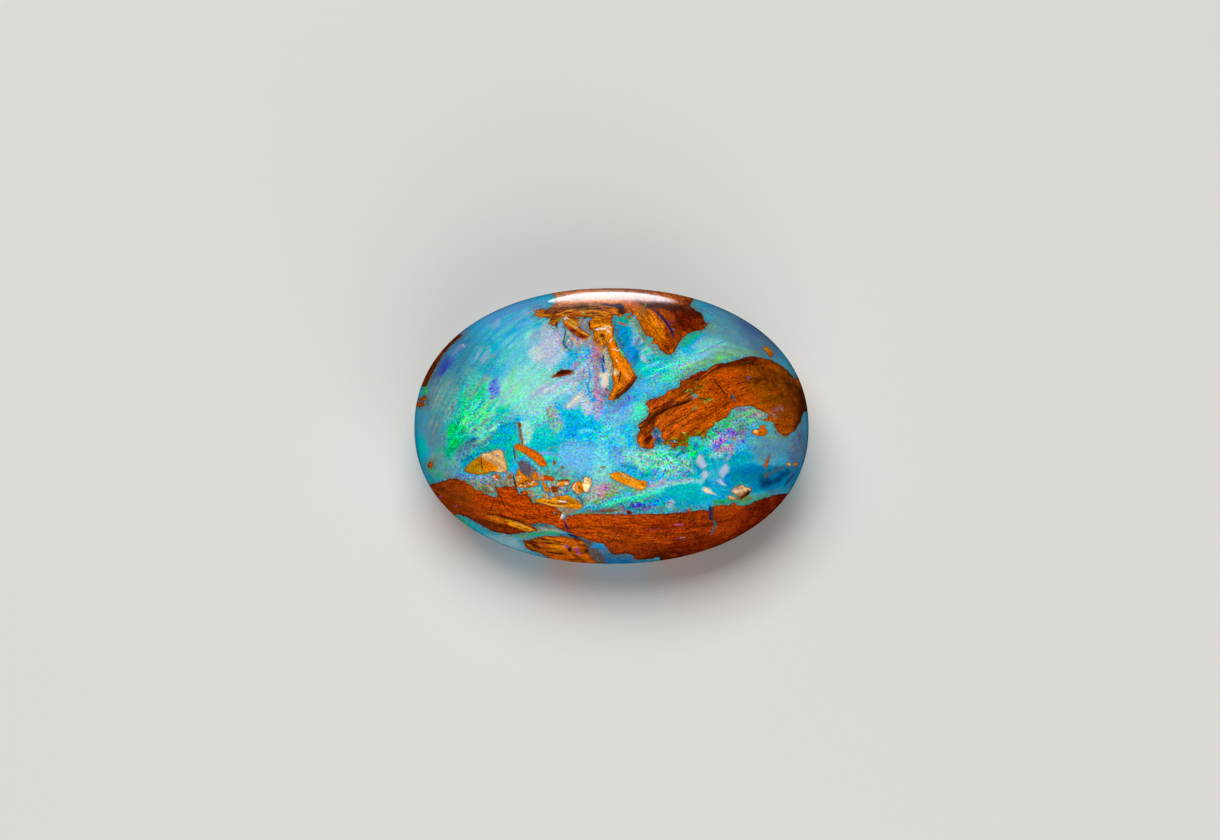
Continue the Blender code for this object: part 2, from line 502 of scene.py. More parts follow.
CHIPS = [
    # paint, slope of the grain, fibres, glints (amount of painted highlight), then x and y of each corner
    # golden ridge and dark splinter under the crown
    ("rust", -36, 0.7, 0.3, -2.5, 5.48, -2.2, 5.52, -1.9, 5.36, -1.58, 5.12, -1.5, 4.9, -1.05, 4.6,
        -1.2, 4.48, -1.36, 4.4, -1.69, 4.5, -2.07, 4.78, -2.42, 5.1),
    ("rust", 12, 0.3, 0, -3.05, 2.45, -2.9, 2.6, -2.55, 2.88, -2.1, 2.85, -1.9, 2.73, -2.15, 2.6,
        -2.6, 2.5),
    # by the right patch
    ("orange", 10, 0.5, 0.5, 7.1, -0.3, 7.26, -0.14, 7.44, -0.2, 7.6, 0, 7.72, 0.12, 7.78, 0.1, 7.76, -0.12,
        7.9, -0.3, 7.8, -0.56, 7.66, -0.46, 7.42, -0.56, 7.36, -0.44, 7.2, -0.46),
    ("amber", -30, 0.2, 0, 7.64, 4.02, 7.9, 4.02, 8.24, 3.75, 8.15, 3.46, 7.95, 3.58, 7.8, 3.84),
    ("orange", 75, 0.2, 0, 8.06, -1.42, 7.93, -1.55, 7.85, -1.85, 7.73, -2, 7.86, -2.18, 7.96, -1.9),
    ("tan", 0, 0, 0, 7.8, -2.45, 7.92, -2.45, 7.92, -2.58, 7.82, -2.58),
    ("peach", 0, 0, 0.3, 8.85, -1.92, 9, -1.82, 9.15, -1.95, 9, -2.05),
    ("amber", 0, 0, 0.3, 9.2, -1.95, 9.35, -1.85, 9.5, -1.93, 9.35, -2.03),
    # left group: the brown, the blade and the diagonal splinter
    ("umber", 80, 0.4, 0, -4.8, 0.17, -4.68, 0.22, -4.58, 0.1, -4.6, -0.12, -4.72, -0.08),
    ("tan", 80, 0.3, 0, -4.75, -0.1, -4.63, -0.1, -4.55, -0.5, -4.45, -0.95, -4.6, -0.9, -4.68, -0.5),
    ("orange", -28, 0.4, 0.3, -4.95, -1.1, -4.85, -0.9, -4.62, -0.92, -4.2, -1.1, -3.8, -1.3, -3.5, -1.55,
        -3.3, -1.85, -3.28, -2, -3.42, -2.1, -3.65, -2, -4, -1.7, -4.4, -1.4, -4.8, -1.22),
    ("tan", 40, 0.2, 0, -7.48, -2.18, -7.22, -1.94, -7.04, -1.74, -6.78, -1.62, -6.6, -1.48, -6.2, -2.2,
        -6.25, -2.42, -6.62, -2.48, -6.94, -2.47, -7.38, -2.32),
    ("peach", -35, 0.2, 0, -6.64, -1.4, -6.3, -1.36, -6, -1.26, -5.72, -1.16, -5.5, -1.26, -5.44, -1.6,
        -5.32, -1.92, -5.3, -2.12, -5.34, -2.34, -5.7, -2.38, -6.2, -2.2, -6.6, -1.6),
    ("amber", 60, 0.2, 0.2, -6.6, -1.52, -6.42, -1.76, -6.18, -1.86, -5.9, -2, -5.76, -2.2, -5.82, -2.3,
        -6.2, -2.32, -6.52, -2.3, -6.6, -1.9),
    ("orange", 0, 0.2, 0.4, -6.07, -2.56, -5.9, -2.4, -5.7, -2.52, -5.64, -2.62, -5.78, -2.82,
        -5.92, -2.72),
    # the sparkling triangle, its strip and the blobs beside it
    ("amber", -25, 0.4, 0.5, -4.72, -2.12, -4.55, -2.4, -4.3, -2.55, -3.95, -2.75, -3.58, -2.95, -4, -3.1,
        -4.75, -3.15, -4.88, -2.9, -4.85, -2.5),
    ("amber", -70, 0.4, 0.8, -3.6, -2.52, -3.45, -2.58, -3.38, -2.9, -3.15, -3.2, -3.22, -3.42, -3.42, -3.3,
        -3.5, -3),
    ("rust", -12, 0.5, 0.2, -3.52, -2.5, -3.1, -2.52, -2.88, -2.62, -2.95, -2.82, -3.4, -2.75),
    ("umber", 0, 0.4, 0, -3.05, -3, -2.7, -3.1, -2.72, -3.35, -2.98, -3.38, -3.08, -3.2),
    ("amber", 18, 0.2, 0.4, -2.85, -2.95, -2.65, -2.8, -2.2, -2.75, -2.1, -2.9, -2.18, -3.08, -2.42, -3,
        -2.65, -3.1),
    ("amber", 60, 0.3, 0.4, -2.08, -3.1, -1.95, -2.88, -1.6, -2.78, -1.42, -3, -1.45, -3.35, -1.62, -3.5,
        -1.92, -3.32),
    ("cream", 75, 0.3, 0.2, -1.42, -2.62, -1.28, -2.55, -1, -2.7, -1, -2.95, -1.18, -3.35, -1.33, -3.42,
        -1.45, -3.2, -1.45, -2.9),
    # the long golden splinter on the band and the chip at the middle
    ("gold", -8, 0.7, 0.5, -3.92, -3.68, -3.4, -3.65, -3.1, -3.75, -3.05, -3.62, -2.6, -3.55, -2.2, -3.5,
        -1.9, -3.7, -1.6, -3.85, -1.46, -4.05, -1.6, -4.25, -1.85, -4.27, -2.1, -4.15, -2.8, -4.1,
        -3.4, -3.95, -3.85, -3.85),
    ("gold", -22, 0.6, 0.8, -0.12, -2.5, 0.1, -2.34, 0.55, -2.35, 0.8, -2.48, 1.1, -2.62, 1.45, -2.78,
        1.65, -2.74, 1.86, -2.95, 1.72, -3.15, 1.5, -3.28, 1.1, -3.15, 0.6, -2.95, 0.1, -2.72),
    # by the right end of the band
    ("peach", 20, 0.3, 0.6, 6.08, -3.3, 6.25, -3.12, 6.42, -3.08, 6.62, -2.96, 6.8, -3.1, 7.05, -3.14,
        7.12, -3.32, 6.85, -3.42, 6.5, -3.62, 6.3, -3.5),
    ("peach", 0, 0.3, 0.5, 5.88, -3.55, 6.05, -3.5, 6.4, -3.65, 6.25, -3.78, 6, -3.75),
    ("bark", 40, 0.3, 0, 7.1, -3.32, 6.9, -3.2, 6.65, -3.45, 6.48, -3.62, 6.62, -3.7, 6.95, -3.52),
    ("bark", -20, 0.3, 0, 0.72, -4.3, 0.95, -4.3, 1.08, -4.4, 0.95, -4.46, 0.75, -4.44),
    ("orange", 25, 0.3, 0.6, 3.8, -4.3, 4, -4.16, 4.08, -4.2, 3.95, -4.35),
]
for paint, slope, fibres, painted_glints, *corners in CHIPS:
    wood_piece(pairs(corners), paint, slope, fibres=fibres, painted_glints=painted_glints, on_top=True)
print("chips:", len(CHIPS))

# %% Tiny specks
SPECKS = [
    # paint, x, y, half its length, half its width
    ("orange", -2.9, -1.85, 0.07, 0.14), ("orange", -3.2, -2.3, 0.06, 0.05),
    ("orange", -2.48, -2.1, 0.12, 0.05), ("tan", -0.4, -2.08, 0.1, 0.05),
    ("orange", -5.15, -2.6, 0.08, 0.12), ("tan", -0.6, -2.28, 0.07, 0.04),
]
OVAL_CORNERS = 10


def oval(x, y, half_long, half_wide):
    """Corners of a small oval."""
    ring = [step / OVAL_CORNERS * 2 * math.pi for step in range(OVAL_CORNERS)]
    return [(x + half_long * math.cos(a), y + half_wide * math.sin(a)) for a in ring]


for paint, x, y, half_long, half_wide in SPECKS:
    wood_piece(oval(x, y, half_long, half_wide), paint, fibres=0.2, on_top=True)
print("specks:", len(SPECKS))

# %% [markdown]
# ## Where the colour flows
#
# The flashes in opal aren't round. They follow the sheets in which the silica settled, so in one place
# they stand up and in another they lie along a slant. A few places on the stone are given a direction, and
# the ones between take a blend of them. Each point then looks a short way up and down its own direction and
# takes the mean of the random values that it passes, which draws them out into streaks, like a brush pulled
# through wet paint.

# %% The direction of the flow
FLOW = [
    # x, y, how far it reaches, direction in degrees
    (-7, 3.5, 2, 72), (-5.2, 2.8, 1.5, 80), (-5, 5, 1.5, 50), (-7.6, 0.8, 1.2, 62), (-8.2, -1, 1.2, 30),
    (-6.2, -0.4, 1.3, 24), (-4.4, 1.8, 1.4, 35), (-4.4, -0.4, 1.2, 5), (-3, 0.5, 0.8, 100),
    (-3.2, 4, 1, 50), (-1.2, 2.2, 0.7, 78), (-1.8, 3.3, 0.8, 45), (-0.8, 3.8, 0.6, 95),
    (-2.3, 4.4, 0.6, 115), (-2.6, 2, 0.8, 35), (-0.5, 1.5, 0.5, 65), (-1.6, -0.2, 1.4, 15),
    (-1.7, -1.8, 1, 150), (0.6, 0.4, 1.2, 40), (0.8, -1.2, 1.2, 100), (1, 4.2, 1, 68), (2.8, 2.7, 1.6, 30),
    (5, 3.6, 1.8, 25), (7, 4.6, 1.8, -35), (3, -1.8, 1.3, 10), (5.6, -0.6, 1.2, 35), (8.2, -1.2, 1.2, 0),
    (5, -2.4, 1.2, 110), (7.8, -2.7, 1.2, 5), (1.5, -3.6, 1.5, 12), (-1, -3.6, 1.2, 10),
    (-6.8, -2.8, 1.4, 0), (-3, -3.2, 1.2, -20), (-9, 0.5, 1, 80),
]
twice_x, twice_y = np.full(len(face_x), 1e-3), np.zeros(len(face_x))
for x, y, reach, turn in FLOW:
    pull = np.exp(-((face_x - x) ** 2 + (face_y - y) ** 2) / reach**2)
    twice_x += pull * math.cos(2 * math.radians(turn))
    twice_y += pull * math.sin(2 * math.radians(turn))
flow_turn = np.arctan2(twice_y, twice_x) / 2
flow = np.cos(flow_turn)[:, None] * rightward + np.sin(flow_turn)[:, None] * upward
flow -= np.sum(flow * normals, axis=1)[:, None] * normals
flow /= np.maximum(np.linalg.norm(flow, axis=1), 0.05)[:, None]
flow_solid = np.stack([flow @ way for way in (rightward, upward, to_eye)])
print("places with a direction:", len(FLOW))

# %% Streaks along the flow
def even(values):
    """Brings random values to the same middle and spread."""
    return np.clip(0.5 + 0.2 * (values - values.mean()) / values.std(), 0, 1)


def streaks(shift, size, length, steps):
    """Random values drawn out along the flow, from 0 to 1 around a half."""
    total = np.zeros(len(face_x))
    for step in np.linspace(-length / 2, length / 2, steps):
        total += mottle(solid_x + step * flow_solid[0] + shift, solid_y + step * flow_solid[1],
                        solid_z + step * flow_solid[2], size)
    return even(total)


SMALL = [streaks(9 * step + 3, 0.15, 0.30, steps=5) for step in range(6)]
LARGE = [streaks(9 * step + 3, 0.30, 0.60, steps=5) for step in range(6)]
HAIRS = [streaks(9 * step + 3, 0.17, 1.40, steps=13) for step in range(6)]
print("fleck fields:", len(SMALL) + len(LARGE) + len(HAIRS))

# %% The same for wood, along its fibres
def fibre_field(shift, length, size):
    """Random values in the wood, drawn out along its fibres."""
    return even(mottle(grain[:, 0] / length + shift, grain[:, 1], grain[:, 2], size))


FIBRES = [fibre_field(7 * step, 4.0, 0.15) for step in range(5)]
GRAINS = [fibre_field(5 * step, 1.3, 0.16) for step in range(5)]
print("fields along the fibres:", len(FIBRES) + len(GRAINS))

# %% Flecks of several paints
FLECK_FROM = 0.58
FLECK_EDGE = 7


def flecks(layer, x, y, long, wide, turn, fields, thick, paints):
    """Scatters flecks of several paints over a soft oval, each paint in its own places."""
    patch = soft_oval(x, y, long, wide, turn)
    for field, paint in zip(fields, paints.split(", ")):
        lay(layer, paint, thick * patch * np.clip((field - FLECK_FROM) * FLECK_EDGE, 0, 1))


# %% [markdown]
# ## Where wood crumbles into opal
#
# Most edges of the wood are broken clean. In some places the wood had rotted before the opal came, and there
# the edge falls to crumbs with opal between them. The streaks from before move the edge in those places, and
# each point keeps how much the material may fray it.

# %% Crumbly places
def spots(places):
    """Soft spots of a quantity, the strongest one winning."""
    amount = np.zeros(len(face_x))
    for x, y, reach_x, reach_y, strength in places:
        out = ((face_x - x) / reach_x) ** 2 + ((face_y - y) / reach_y) ** 2
        amount = np.maximum(amount, strength * np.exp(-out))
    return amount


CRUMBLY = [
    # x, y, reach across, reach up, amount
    (3.8, -0.85, 1.6, 0.35, 1.2), (-6.6, -3.2, 1.4, 0.4, 0.6), (-4.5, -3.45, 0.8, 0.4, 0.5),
    (-0.5, 4.15, 0.4, 0.35, 1.0), (2.2, 4.1, 0.5, 0.6, 0.6), (7.9, 0.15, 0.5, 0.4, 1.0),
    (2.1, -0.5, 0.4, 0.7, 0.8), (-1.5, 5.3, 0.6, 0.35, 0.9), (0.8, 5.5, 0.5, 0.4, 0.9),
    (6.4, -3.9, 1.3, 0.3, 0.4), (-2.5, -4.3, 0.6, 0.3, 0.8), (5.2, 0.0, 0.8, 0.4, 0.6),
    (8.4, 0.3, 0.6, 0.4, 0.8), (-3.4, 5.5, 0.5, 0.3, 0.6), (4.2, 2.9, 1.0, 0.4, 0.4),
]
LEAST_FRAY, MOST_CRUMBS = 0.45, 0.9
crumbly = spots(CRUMBLY)
wood_depth += crumbly * (SMALL[5] - 0.5)
fray = LEAST_FRAY + np.minimum(crumbly, MOST_CRUMBS)
print(f"fray {fray.min():.2f} to {fray.max():.2f}")

# %% [markdown]
# ## Shades in the wood
#
# Wood is never one brown. Soft clouds are laid on the wood's own layer: darker at the ends, and towards the
# rim partly as painted shade, orange where the light comes through, olive where a film of opal veils it.
# Flecks that run along the fibres break them up, plates give the zones that end at a clean edge, and thin
# strokes give the dark layers that follow the bend of the grain.

# %% Shading the wood
WOOD_CLOUDS = [
    # paint, x, y, length, width, turn, thickness
    # band: smooth and brown at the left, warm in the middle, ox blood towards the right rim, darkened there
    # partly as painted shade
    ("umber", -8.2, -3.7, 1.6, 0.9, -25, 0.75), ("olive", -7.6, -3.6, 0.9, 0.5, -20, 0.35),
    ("umber", -8, -2.75, 0.6, 0.2, -10, 0.7), ("umber", -6.9, -4.75, 1.1, 0.35, -30, 0.7),
    ("orange", 0.2, -5.3, 2.4, 0.8, 0, 0.3), ("umber", 3.4, -4.6, 1.6, 0.25, 0, 0.5),
    ("oxblood", 4.2, -4.38, 0.8, 0.12, 8, 0.6), ("oxblood", 7.6, -5, 2.2, 1.3, 40, 0.9),
    ("cherry", 8.9, -4.5, 1.9, 0.8, 40, 0.8), ("cherry", 6.6, -6, 2.4, 0.7, 32, 0.85),
    ("oxblood", 8.2, -3.8, 1.2, 0.4, 8, 0.8), ("oxblood", 3.5, -6.3, 3.4, 0.6, 12, 0.85),
    ("oxblood", 5.4, -4.7, 1.2, 0.5, 10, 0.5), ("wine", 1.6, -5.2, 1.8, 0.4, 2, 0.22),
    ("umber", 0.6, -6.2, 2, 0.35, 0, 0.6), ("bark", 2, -6.75, 2.4, 0.3, 4, 0.6),
    ("oxblood", 3.4, -5.1, 1.2, 0.3, 0, 0.35), ("mauve", 3.4, -5, 0.3, 0.07, 0, 0.6),
    # crown
    ("umber", -3.2, 5.7, 0.5, 0.25, 0, 0.8), ("olive", -2.9, 5.4, 0.5, 0.2, -20, 0.7),
    ("olive", -2.4, 6.15, 1, 0.12, 0, 0.5), ("orange", -0.9, 5.95, 1.2, 0.25, 0, 0.7),
    ("umber", -0.8, 5.9, 0.6, 0.08, 5, 0.7),
    # leg
    ("gold", -0.35, 4.9, 0.5, 0.3, 0, 0.6),
    # top right: orange on the left, ox blood on the right
    ("oxblood", 3.9, 5.5, 1, 0.95, 0, 0.95), ("oxblood", 3.3, 4.5, 0.3, 0.6, 20, 0.6),
    ("bark", 4.7, 5.2, 0.2, 0.16, 0, 0.8), ("oxblood", 2.9, 3.95, 0.35, 0.2, 30, 0.7),
    ("umber", 2.4, 6.1, 1.2, 0.2, 0, 0.7),
    # right patch: dark fringe at its upper left, orange heart, olive and veiled at its right end, darker
    # towards the rim
    ("rust", 2.3, 1.2, 0.8, 0.4, 30, 0.8), ("rust", 3.6, 0.2, 1.6, 0.6, 25, 0.5),
    ("oxblood", 1.8, -0.35, 0.3, 0.6, 0, 0.95), ("bark", 2, 0.4, 0.35, 0.3, 30, 0.8),
    ("oxblood", 2.6, 0.85, 0.8, 0.16, 38, 0.8), ("umber", 3.3, 1.6, 0.7, 0.2, 40, 0.6),
    ("umber", 4.8, 0.5, 0.9, 0.3, 35, 0.55), ("oxblood", 4.2, -0.4, 1, 0.2, 18, 0.6),
    ("umber", 5.6, 2.6, 0.9, 0.25, 20, 0.4), ("rust", 5.9, 2.2, 1.4, 0.6, 10, 0.6),
    ("oxblood", 5.7, 1, 0.7, 0.3, 30, 0.4), ("olive", 7.7, 2.2, 1.3, 1.2, 0, 0.8),
    ("olive", 8.7, 1.2, 0.7, 1.6, 0, 0.7), ("bark", 8.1, 3.5, 1.2, 0.3, -18, 0.5),
    ("bark", 8.9, 2.9, 0.6, 0.3, -40, 0.5), ("bark", 9.55, 1.6, 0.3, 1.6, 10, 0.8),
    ("umber", 7.2, 3.25, 1.8, 0.25, -8, 0.7), ("umber", 7.9, 2.5, 0.6, 0.3, -15, 0.7),
    ("mauve", 8.4, 0.75, 0.6, 0.5, -50, 0.15), ("plum", 8.75, -0.25, 0.5, 0.3, 10, 0.45),
    ("bark", 9.5, 0.5, 0.35, 0.7, 10, 0.7), ("umber", 2.2, 1.3, 0.7, 0.2, 25, 0.5),
    ("rust", 6.6, 1.4, 1.2, 0.5, 10, 0.5), ("bark", 9.75, 1.2, 0.3, 1.4, 5, 0.8),
    ("olive", 8.6, 1.9, 1, 1.3, -30, 0.5), ("umber", 9.1, 0.9, 0.6, 1.6, 10, 0.5),
    ("cherry", 3.2, 6.1, 1.1, 0.3, -8, 0.85), ("umber", 2.2, 6.05, 0.9, 0.25, 0, 0.9),
    ("bark", 2.4, 6.05, 1, 0.2, 0, 0.6), ("bark", 0, 6.05, 0.5, 0.15, 0, 0.5),
    ("oxblood", 2.75, 5.2, 0.3, 0.6, 35, 0.6), ("cherry", 4.1, 5.8, 0.7, 0.35, -20, 0.8),
    ("umber", 2.65, 5.1, 0.25, 0.5, 20, 0.6), ("bark", 9.2, 1.8, 1.3, 0.45, 105, 0.6),
    ("bark", 9.4, 0.3, 0.3, 0.5, 0, 0.6), ("oxblood", 6, 3.1, 1.6, 0.2, 14, 0.5),
    ("umber", 5.6, 1.9, 0.9, 0.3, 10, 0.5), ("umber", 6, 1.2, 0.8, 0.3, 20, 0.4),
    # chips
    ("cream", 7.3, -0.28, 0.09, 0.12, 30, 0.95),
    # past the rim, where the two woods of the crown run into each other; the last row darkens the right
    # patch's end towards the rim
    ("umber", 0.6, 7.6, 3.4, 0.9, 0, 0.8), ("cherry", 2.4, 6.15, 1.3, 0.22, -8, 0.45),
    ("bark", -0.1, 6.05, 0.6, 0.15, 0, 0.4), ("bark", 9.5, 0.3, 0.35, 0.6, 0, 0.45),
]
for paint, x, y, long, wide, turn, thick in WOOD_CLOUDS:
    cloud(wood_colour, paint, x, y, long, wide, turn, thick)
print("shades:", len(WOOD_CLOUDS))

# %% Flecks along the fibres
WOOD_FLECKS = [
    # x, y, length, width, turn, fields, thickness, paints
    (-1.8, 5.8, 1.9, 0.4, -2, FIBRES, 0.95, "gold, bark, honey, orange, bark"),
    (-0.55, 4.45, 0.35, 0.3, -40, GRAINS, 0.85, "bark, gold, olive, cream"),
    (4.1, -0.6, 1.3, 0.25, 14, GRAINS, 0.85, "moss, oxblood, lime, umber, olive"),
    (4.25, 2, 0.45, 0.35, 60, GRAINS, 0.8, "moss, leaf, bark, olive"),
    (8.4, 0.75, 0.5, 0.45, 0, GRAINS, 0.45, "mauve, tan, olive, beige"),
    (7.6, 2.4, 1.2, 0.5, -10, FIBRES, 0.5, "bark, olive, umber"),
    (-2.8, -6.2, 1.6, 0.5, -15, FIBRES, 0.8, "umber, honey, oxblood, rust"),
    (-5.3, -4.9, 1.4, 0.4, -18, FIBRES, 0.6, "bark, honey, umber"),
    (6.6, -3.35, 0.6, 0.35, 0, GRAINS, 0.8, "shell, umber, cream, tan, olive"),
    (0.9, -2.8, 1, 0.3, -22, FIBRES, 0.55, "honey, cream, orange"),
    (-2.7, -3.9, 1.2, 0.25, -8, FIBRES, 0.6, "orange, straw, umber"),
    (4, -5.3, 4, 0.8, 0, FIBRES, 0.35, "umber, rust, oxblood"),
]
for row in WOOD_FLECKS:
    flecks(wood_colour, *row)
print("patches of wood flecks:", len(WOOD_FLECKS))

# %% Zones of wood with a clean edge
WOOD_PLATES = [
    # paint, thickness, then x and y of each corner
    # right patch: brown corner, dark fringe at the left, red strip on top
    ("umber", 0.8, 3.42, 2.25, 4, 2.5, 4.35, 2.3, 4.3, 1.9, 3.9, 1.6, 3.4, 1.4),
    ("bark", 0.75, 1.55, 0.15, 1.8, 0.4, 2.15, 0.5, 2.2, 0.1, 2.05, -0.4, 1.98, -0.9, 1.75, -1.1,
        1.62, -0.7, 1.7, -0.3),
    ("oxblood", 0.85, 3.95, 2.45, 4.5, 2.75, 5.2, 3.15, 6.5, 3.45, 7.3, 3.55, 7.6, 3.3, 6.4, 3.08,
        5.6, 2.98, 5, 2.72, 4.55, 2.3, 4.3, 2.3),
    # crown: pink tip, dark lens, dark gap
    ("peach", 0.5, -3.95, 5.6, -3.92, 5.9, -3.76, 5.92, -3.7, 5.62),
    ("bark", 0.9, -0.75, 5.64, -0.4, 5.72, -0.1, 5.64, -0.25, 5.5, -0.6, 5.52),
    ("bark", 0.95, 0.22, 6.08, 0.62, 6.1, 0.74, 5.85, 0.62, 5.66, 0.28, 5.68),
    # ridge and dark splinter
    ("oxblood", 0.9, -2.25, 5.12, -1.75, 4.92, -1.15, 4.52, -1.44, 4.4, -2.05, 4.7),
    ("cherry", 0.95, -2.88, 2.78, -2.6, 2.9, -2, 2.88, -1.95, 2.7, -2.55, 2.56, -2.8, 2.56),
    # leg: cream patch, dark sole
    ("cream", 0.9, 0.12, 2.85, 0.22, 2.88, 0.4, 2.66, 0.28, 2.55, 0.14, 2.66),
    ("bark", 0.92, 1.34, 2.55, 1.2, 2.6, 0.95, 2.3, 0.6, 2.02, 0.25, 1.72, 0.1, 1.5, 0.2, 1.3, 0.5, 1.4,
        0.9, 1.75, 1.25, 2.2),
    # band: streak with its dark bed
    ("oxblood", 0.75, -5.9, -5, -5.3, -4.98, -4.5, -5.3, -4, -5.45, -4.4, -5.52, -5.2, -5.55, -6.1, -5.3),
    ("umber", 0.8, -7.2, -4.7, -6.4, -4.75, -5.6, -5.05, -5, -5.2, -5.2, -5.5, -6, -5.36, -6.8, -4.92),
    ("honey", 0.6, -6.3, -4.6, -5.9, -4.58, -5.4, -4.78, -5.5, -4.92, -6.1, -4.8),
    ("gold", 0.98, -5.35, -4.78, -5.2, -4.76, -4.6, -5.03, -3.95, -5.24, -3.65, -5.33, -3.7, -5.41,
        -4.2, -5.38, -4.8, -5.15, -5.3, -4.95),
    # low wood: dark left end, amber lump, gaps
    ("oxblood", 0.9, -4.5, -5.8, -3.9, -5.82, -3.65, -6, -3.55, -6.36, -4, -6.4, -4.4, -6.22),
    ("amber", 0.9, -3.25, -6, -2.9, -5.95, -2.3, -5.98, -2.28, -6.3, -2.8, -6.36, -3.15, -6.25),
    ("oxblood", 0.7, -3.1, -6.38, -2.4, -6.44, -2.2, -6.52, -2.6, -6.52, -3.1, -6.46),
    ("oxblood", 0.85, -1.95, -5.66, -1.5, -5.66, -1.42, -5.86, -1.75, -5.9),
    ("cherry", 0.95, -2.22, -6.14, -2, -6.14, -1.98, -6.4, -2.15, -6.42),
    ("cherry", 0.9, -1.45, -6, -1.25, -6.1, -1.1, -6.4, -1.2, -6.55, -1.4, -6.4),
    # chip by the right end of the band: cream top, dark hollow
    ("shell", 0.85, 6.1, -3.3, 6.28, -3.12, 6.45, -3.12, 6.62, -2.98, 6.72, -3.12, 6.6, -3.35, 6.35, -3.5),
    ("bark", 0.95, 7.06, -3.3, 6.94, -3.22, 6.78, -3.36, 6.6, -3.5, 6.46, -3.62, 6.6, -3.7, 6.85, -3.6,
        7.02, -3.5),
    # band: dark end at the right, partly the wood's own colour, partly painted shade towards the rim
    ("oxblood", 0.55, 6.8, -3.9, 8, -3.5, 9.2, -3.3, 10, -4.4, 8, -6.4, 5.5, -7.2, 4.2, -7, 6, -6, 6.9, -5),
    # top right: glowing left half, ox blood right half
    ("amber", 0.6, 0.9, 5.6, 1.3, 5.5, 1.8, 4.7, 2.4, 4.2, 2.8, 4.6, 2.6, 5.2, 2.1, 5.8, 1.5, 6.1, 0.9, 6),
    ("oxblood", 0.6, 3.2, 5.8, 3.4, 4.8, 3.9, 4.7, 4.8, 5, 4.6, 5.6, 4, 6),
]
for paint, thick, *corners in WOOD_PLATES:
    plate(wood_colour, paint, thick, pairs(corners))
print("zones:", len(WOOD_PLATES))

# %% Flecks that lie over those zones
LATE_WOOD_FLECKS = [
    # the same columns as WOOD_FLECKS
    (-4.35, -2.75, 0.6, 0.4, -20, GRAINS, 0.7, "honey, orange, umber"),
    (1.85, -0.3, 0.5, 0.8, 0, FIBRES, 0.6, "bark, rust, orange"),
    (5.6, 0.6, 1, 0.5, 35, FIBRES, 0.45, "bark, rust, umber"),
    (-2.6, 5.75, 1.1, 0.3, 0, GRAINS, 0.85, "gold, bark, orange, oxblood, umber"),
    (-0.6, 5.25, 0.5, 0.3, 0, FIBRES, 0.6, "honey, straw, orange"),
    (-1.2, 5.75, 0.9, 0.3, 0, GRAINS, 0.75, "bark, gold, umber"),
    (-1.9, 5.9, 1.3, 0.25, 0, FIBRES, 0.8, "bark, straw, cherry"),
    (-3.3, -6.05, 1.3, 0.4, -12, FIBRES, 0.75, "cherry, gold, oxblood"),
    (-1.6, -6.2, 0.5, 0.5, -20, GRAINS, 0.75, "cherry, gold, rust"),
    (4, -0.7, 1.2, 0.2, 12, GRAINS, 0.9, "moss, lime, oxblood, olive"),
]
for row in LATE_WOOD_FLECKS:
    flecks(wood_colour, *row)
print("patches of wood flecks over the zones:", len(LATE_WOOD_FLECKS))

# %% Soft layers that follow the bend of the grain
WOOD_STROKES = [
    # paint, how far it reaches to each side, thickness, then x and y of each point
    ("bark", 0.09, 0.8, 2, 0.45, 2.6, 0.78, 3.4, 1.1, 4.1, 1.36),
    ("bark", 0.09, 0.6, 4.4, 2.35, 4.9, 2.7, 5.5, 2.95, 6.3, 3.1, 7.2, 3.2),
    ("bark", 0.1, 0.5, 6.6, 2.95, 7.2, 3.1, 7.9, 2.9, 8.6, 2.5, 9.1, 1.9),
    ("bark", 0.09, 0.6, 7.3, 2.15, 7.7, 2.45, 8.1, 2.3, 8.4, 1.9, 8.7, 1.5),
    ("bark", 0.06, 0.6, -6.3, -4.45, -5.6, -4.56, -5, -4.72, -4.4, -4.9),
    ("bark", 0.09, 0.8, -1.9, -6.55, -1.6, -6.75, -1.4, -6.9),
]
for paint, wide, thick, *line in WOOD_STROKES:
    stroke(wood_colour, paint, wide, thick, pairs(line))
print("layers:", len(WOOD_STROKES))

# %% [markdown]
# ## The opal
#
# The opal is laid on as one would paint a sky: large quiet tints first, then a scatter of flecks, then
# smaller and stronger tints, and last the seams, the plates with a clean edge and the flecks that lie over
# them. A row gives the paint, place, length, width, turn and thickness of its coat. Some places glitter and
# some lie under a haze, so each point also keeps how lively it is.

# %% How lively each place is
LIVELY = [
    # x, y, reach across, reach up, amount
    (-7.4, 0.5, 1.2, 1.4, 0.3), (-5.6, -0.2, 0.9, 0.7, 0.3), (-1, 2.6, 1, 1.6, 0.25),
    (3, -1.8, 1.6, 0.9, 0.5), (5.6, -0.5, 1.1, 0.8, 0.6), (6.8, 0.3, 0.9, 0.6, 0.5),
    (-0.2, -3.6, 1.3, 0.5, 0.5), (1.5, -4, 1.6, 0.35, 0.5), (-6.6, -2.8, 1.2, 0.5, 0.4),
    (-3, -3.2, 1.2, 0.5, 0.5), (3, 2.8, 1.2, 0.7, 0.25), (-3, 0.4, 0.6, 0.6, 0.4),
    (-1, -0.4, 1.5, 0.8, 0.2), (-7, -1.4, 0.9, 0.4, 0.3), (4.3, -1.4, 0.8, 0.7, 0.4),
    (-2, 4.4, 0.6, 0.5, 0.2),
]
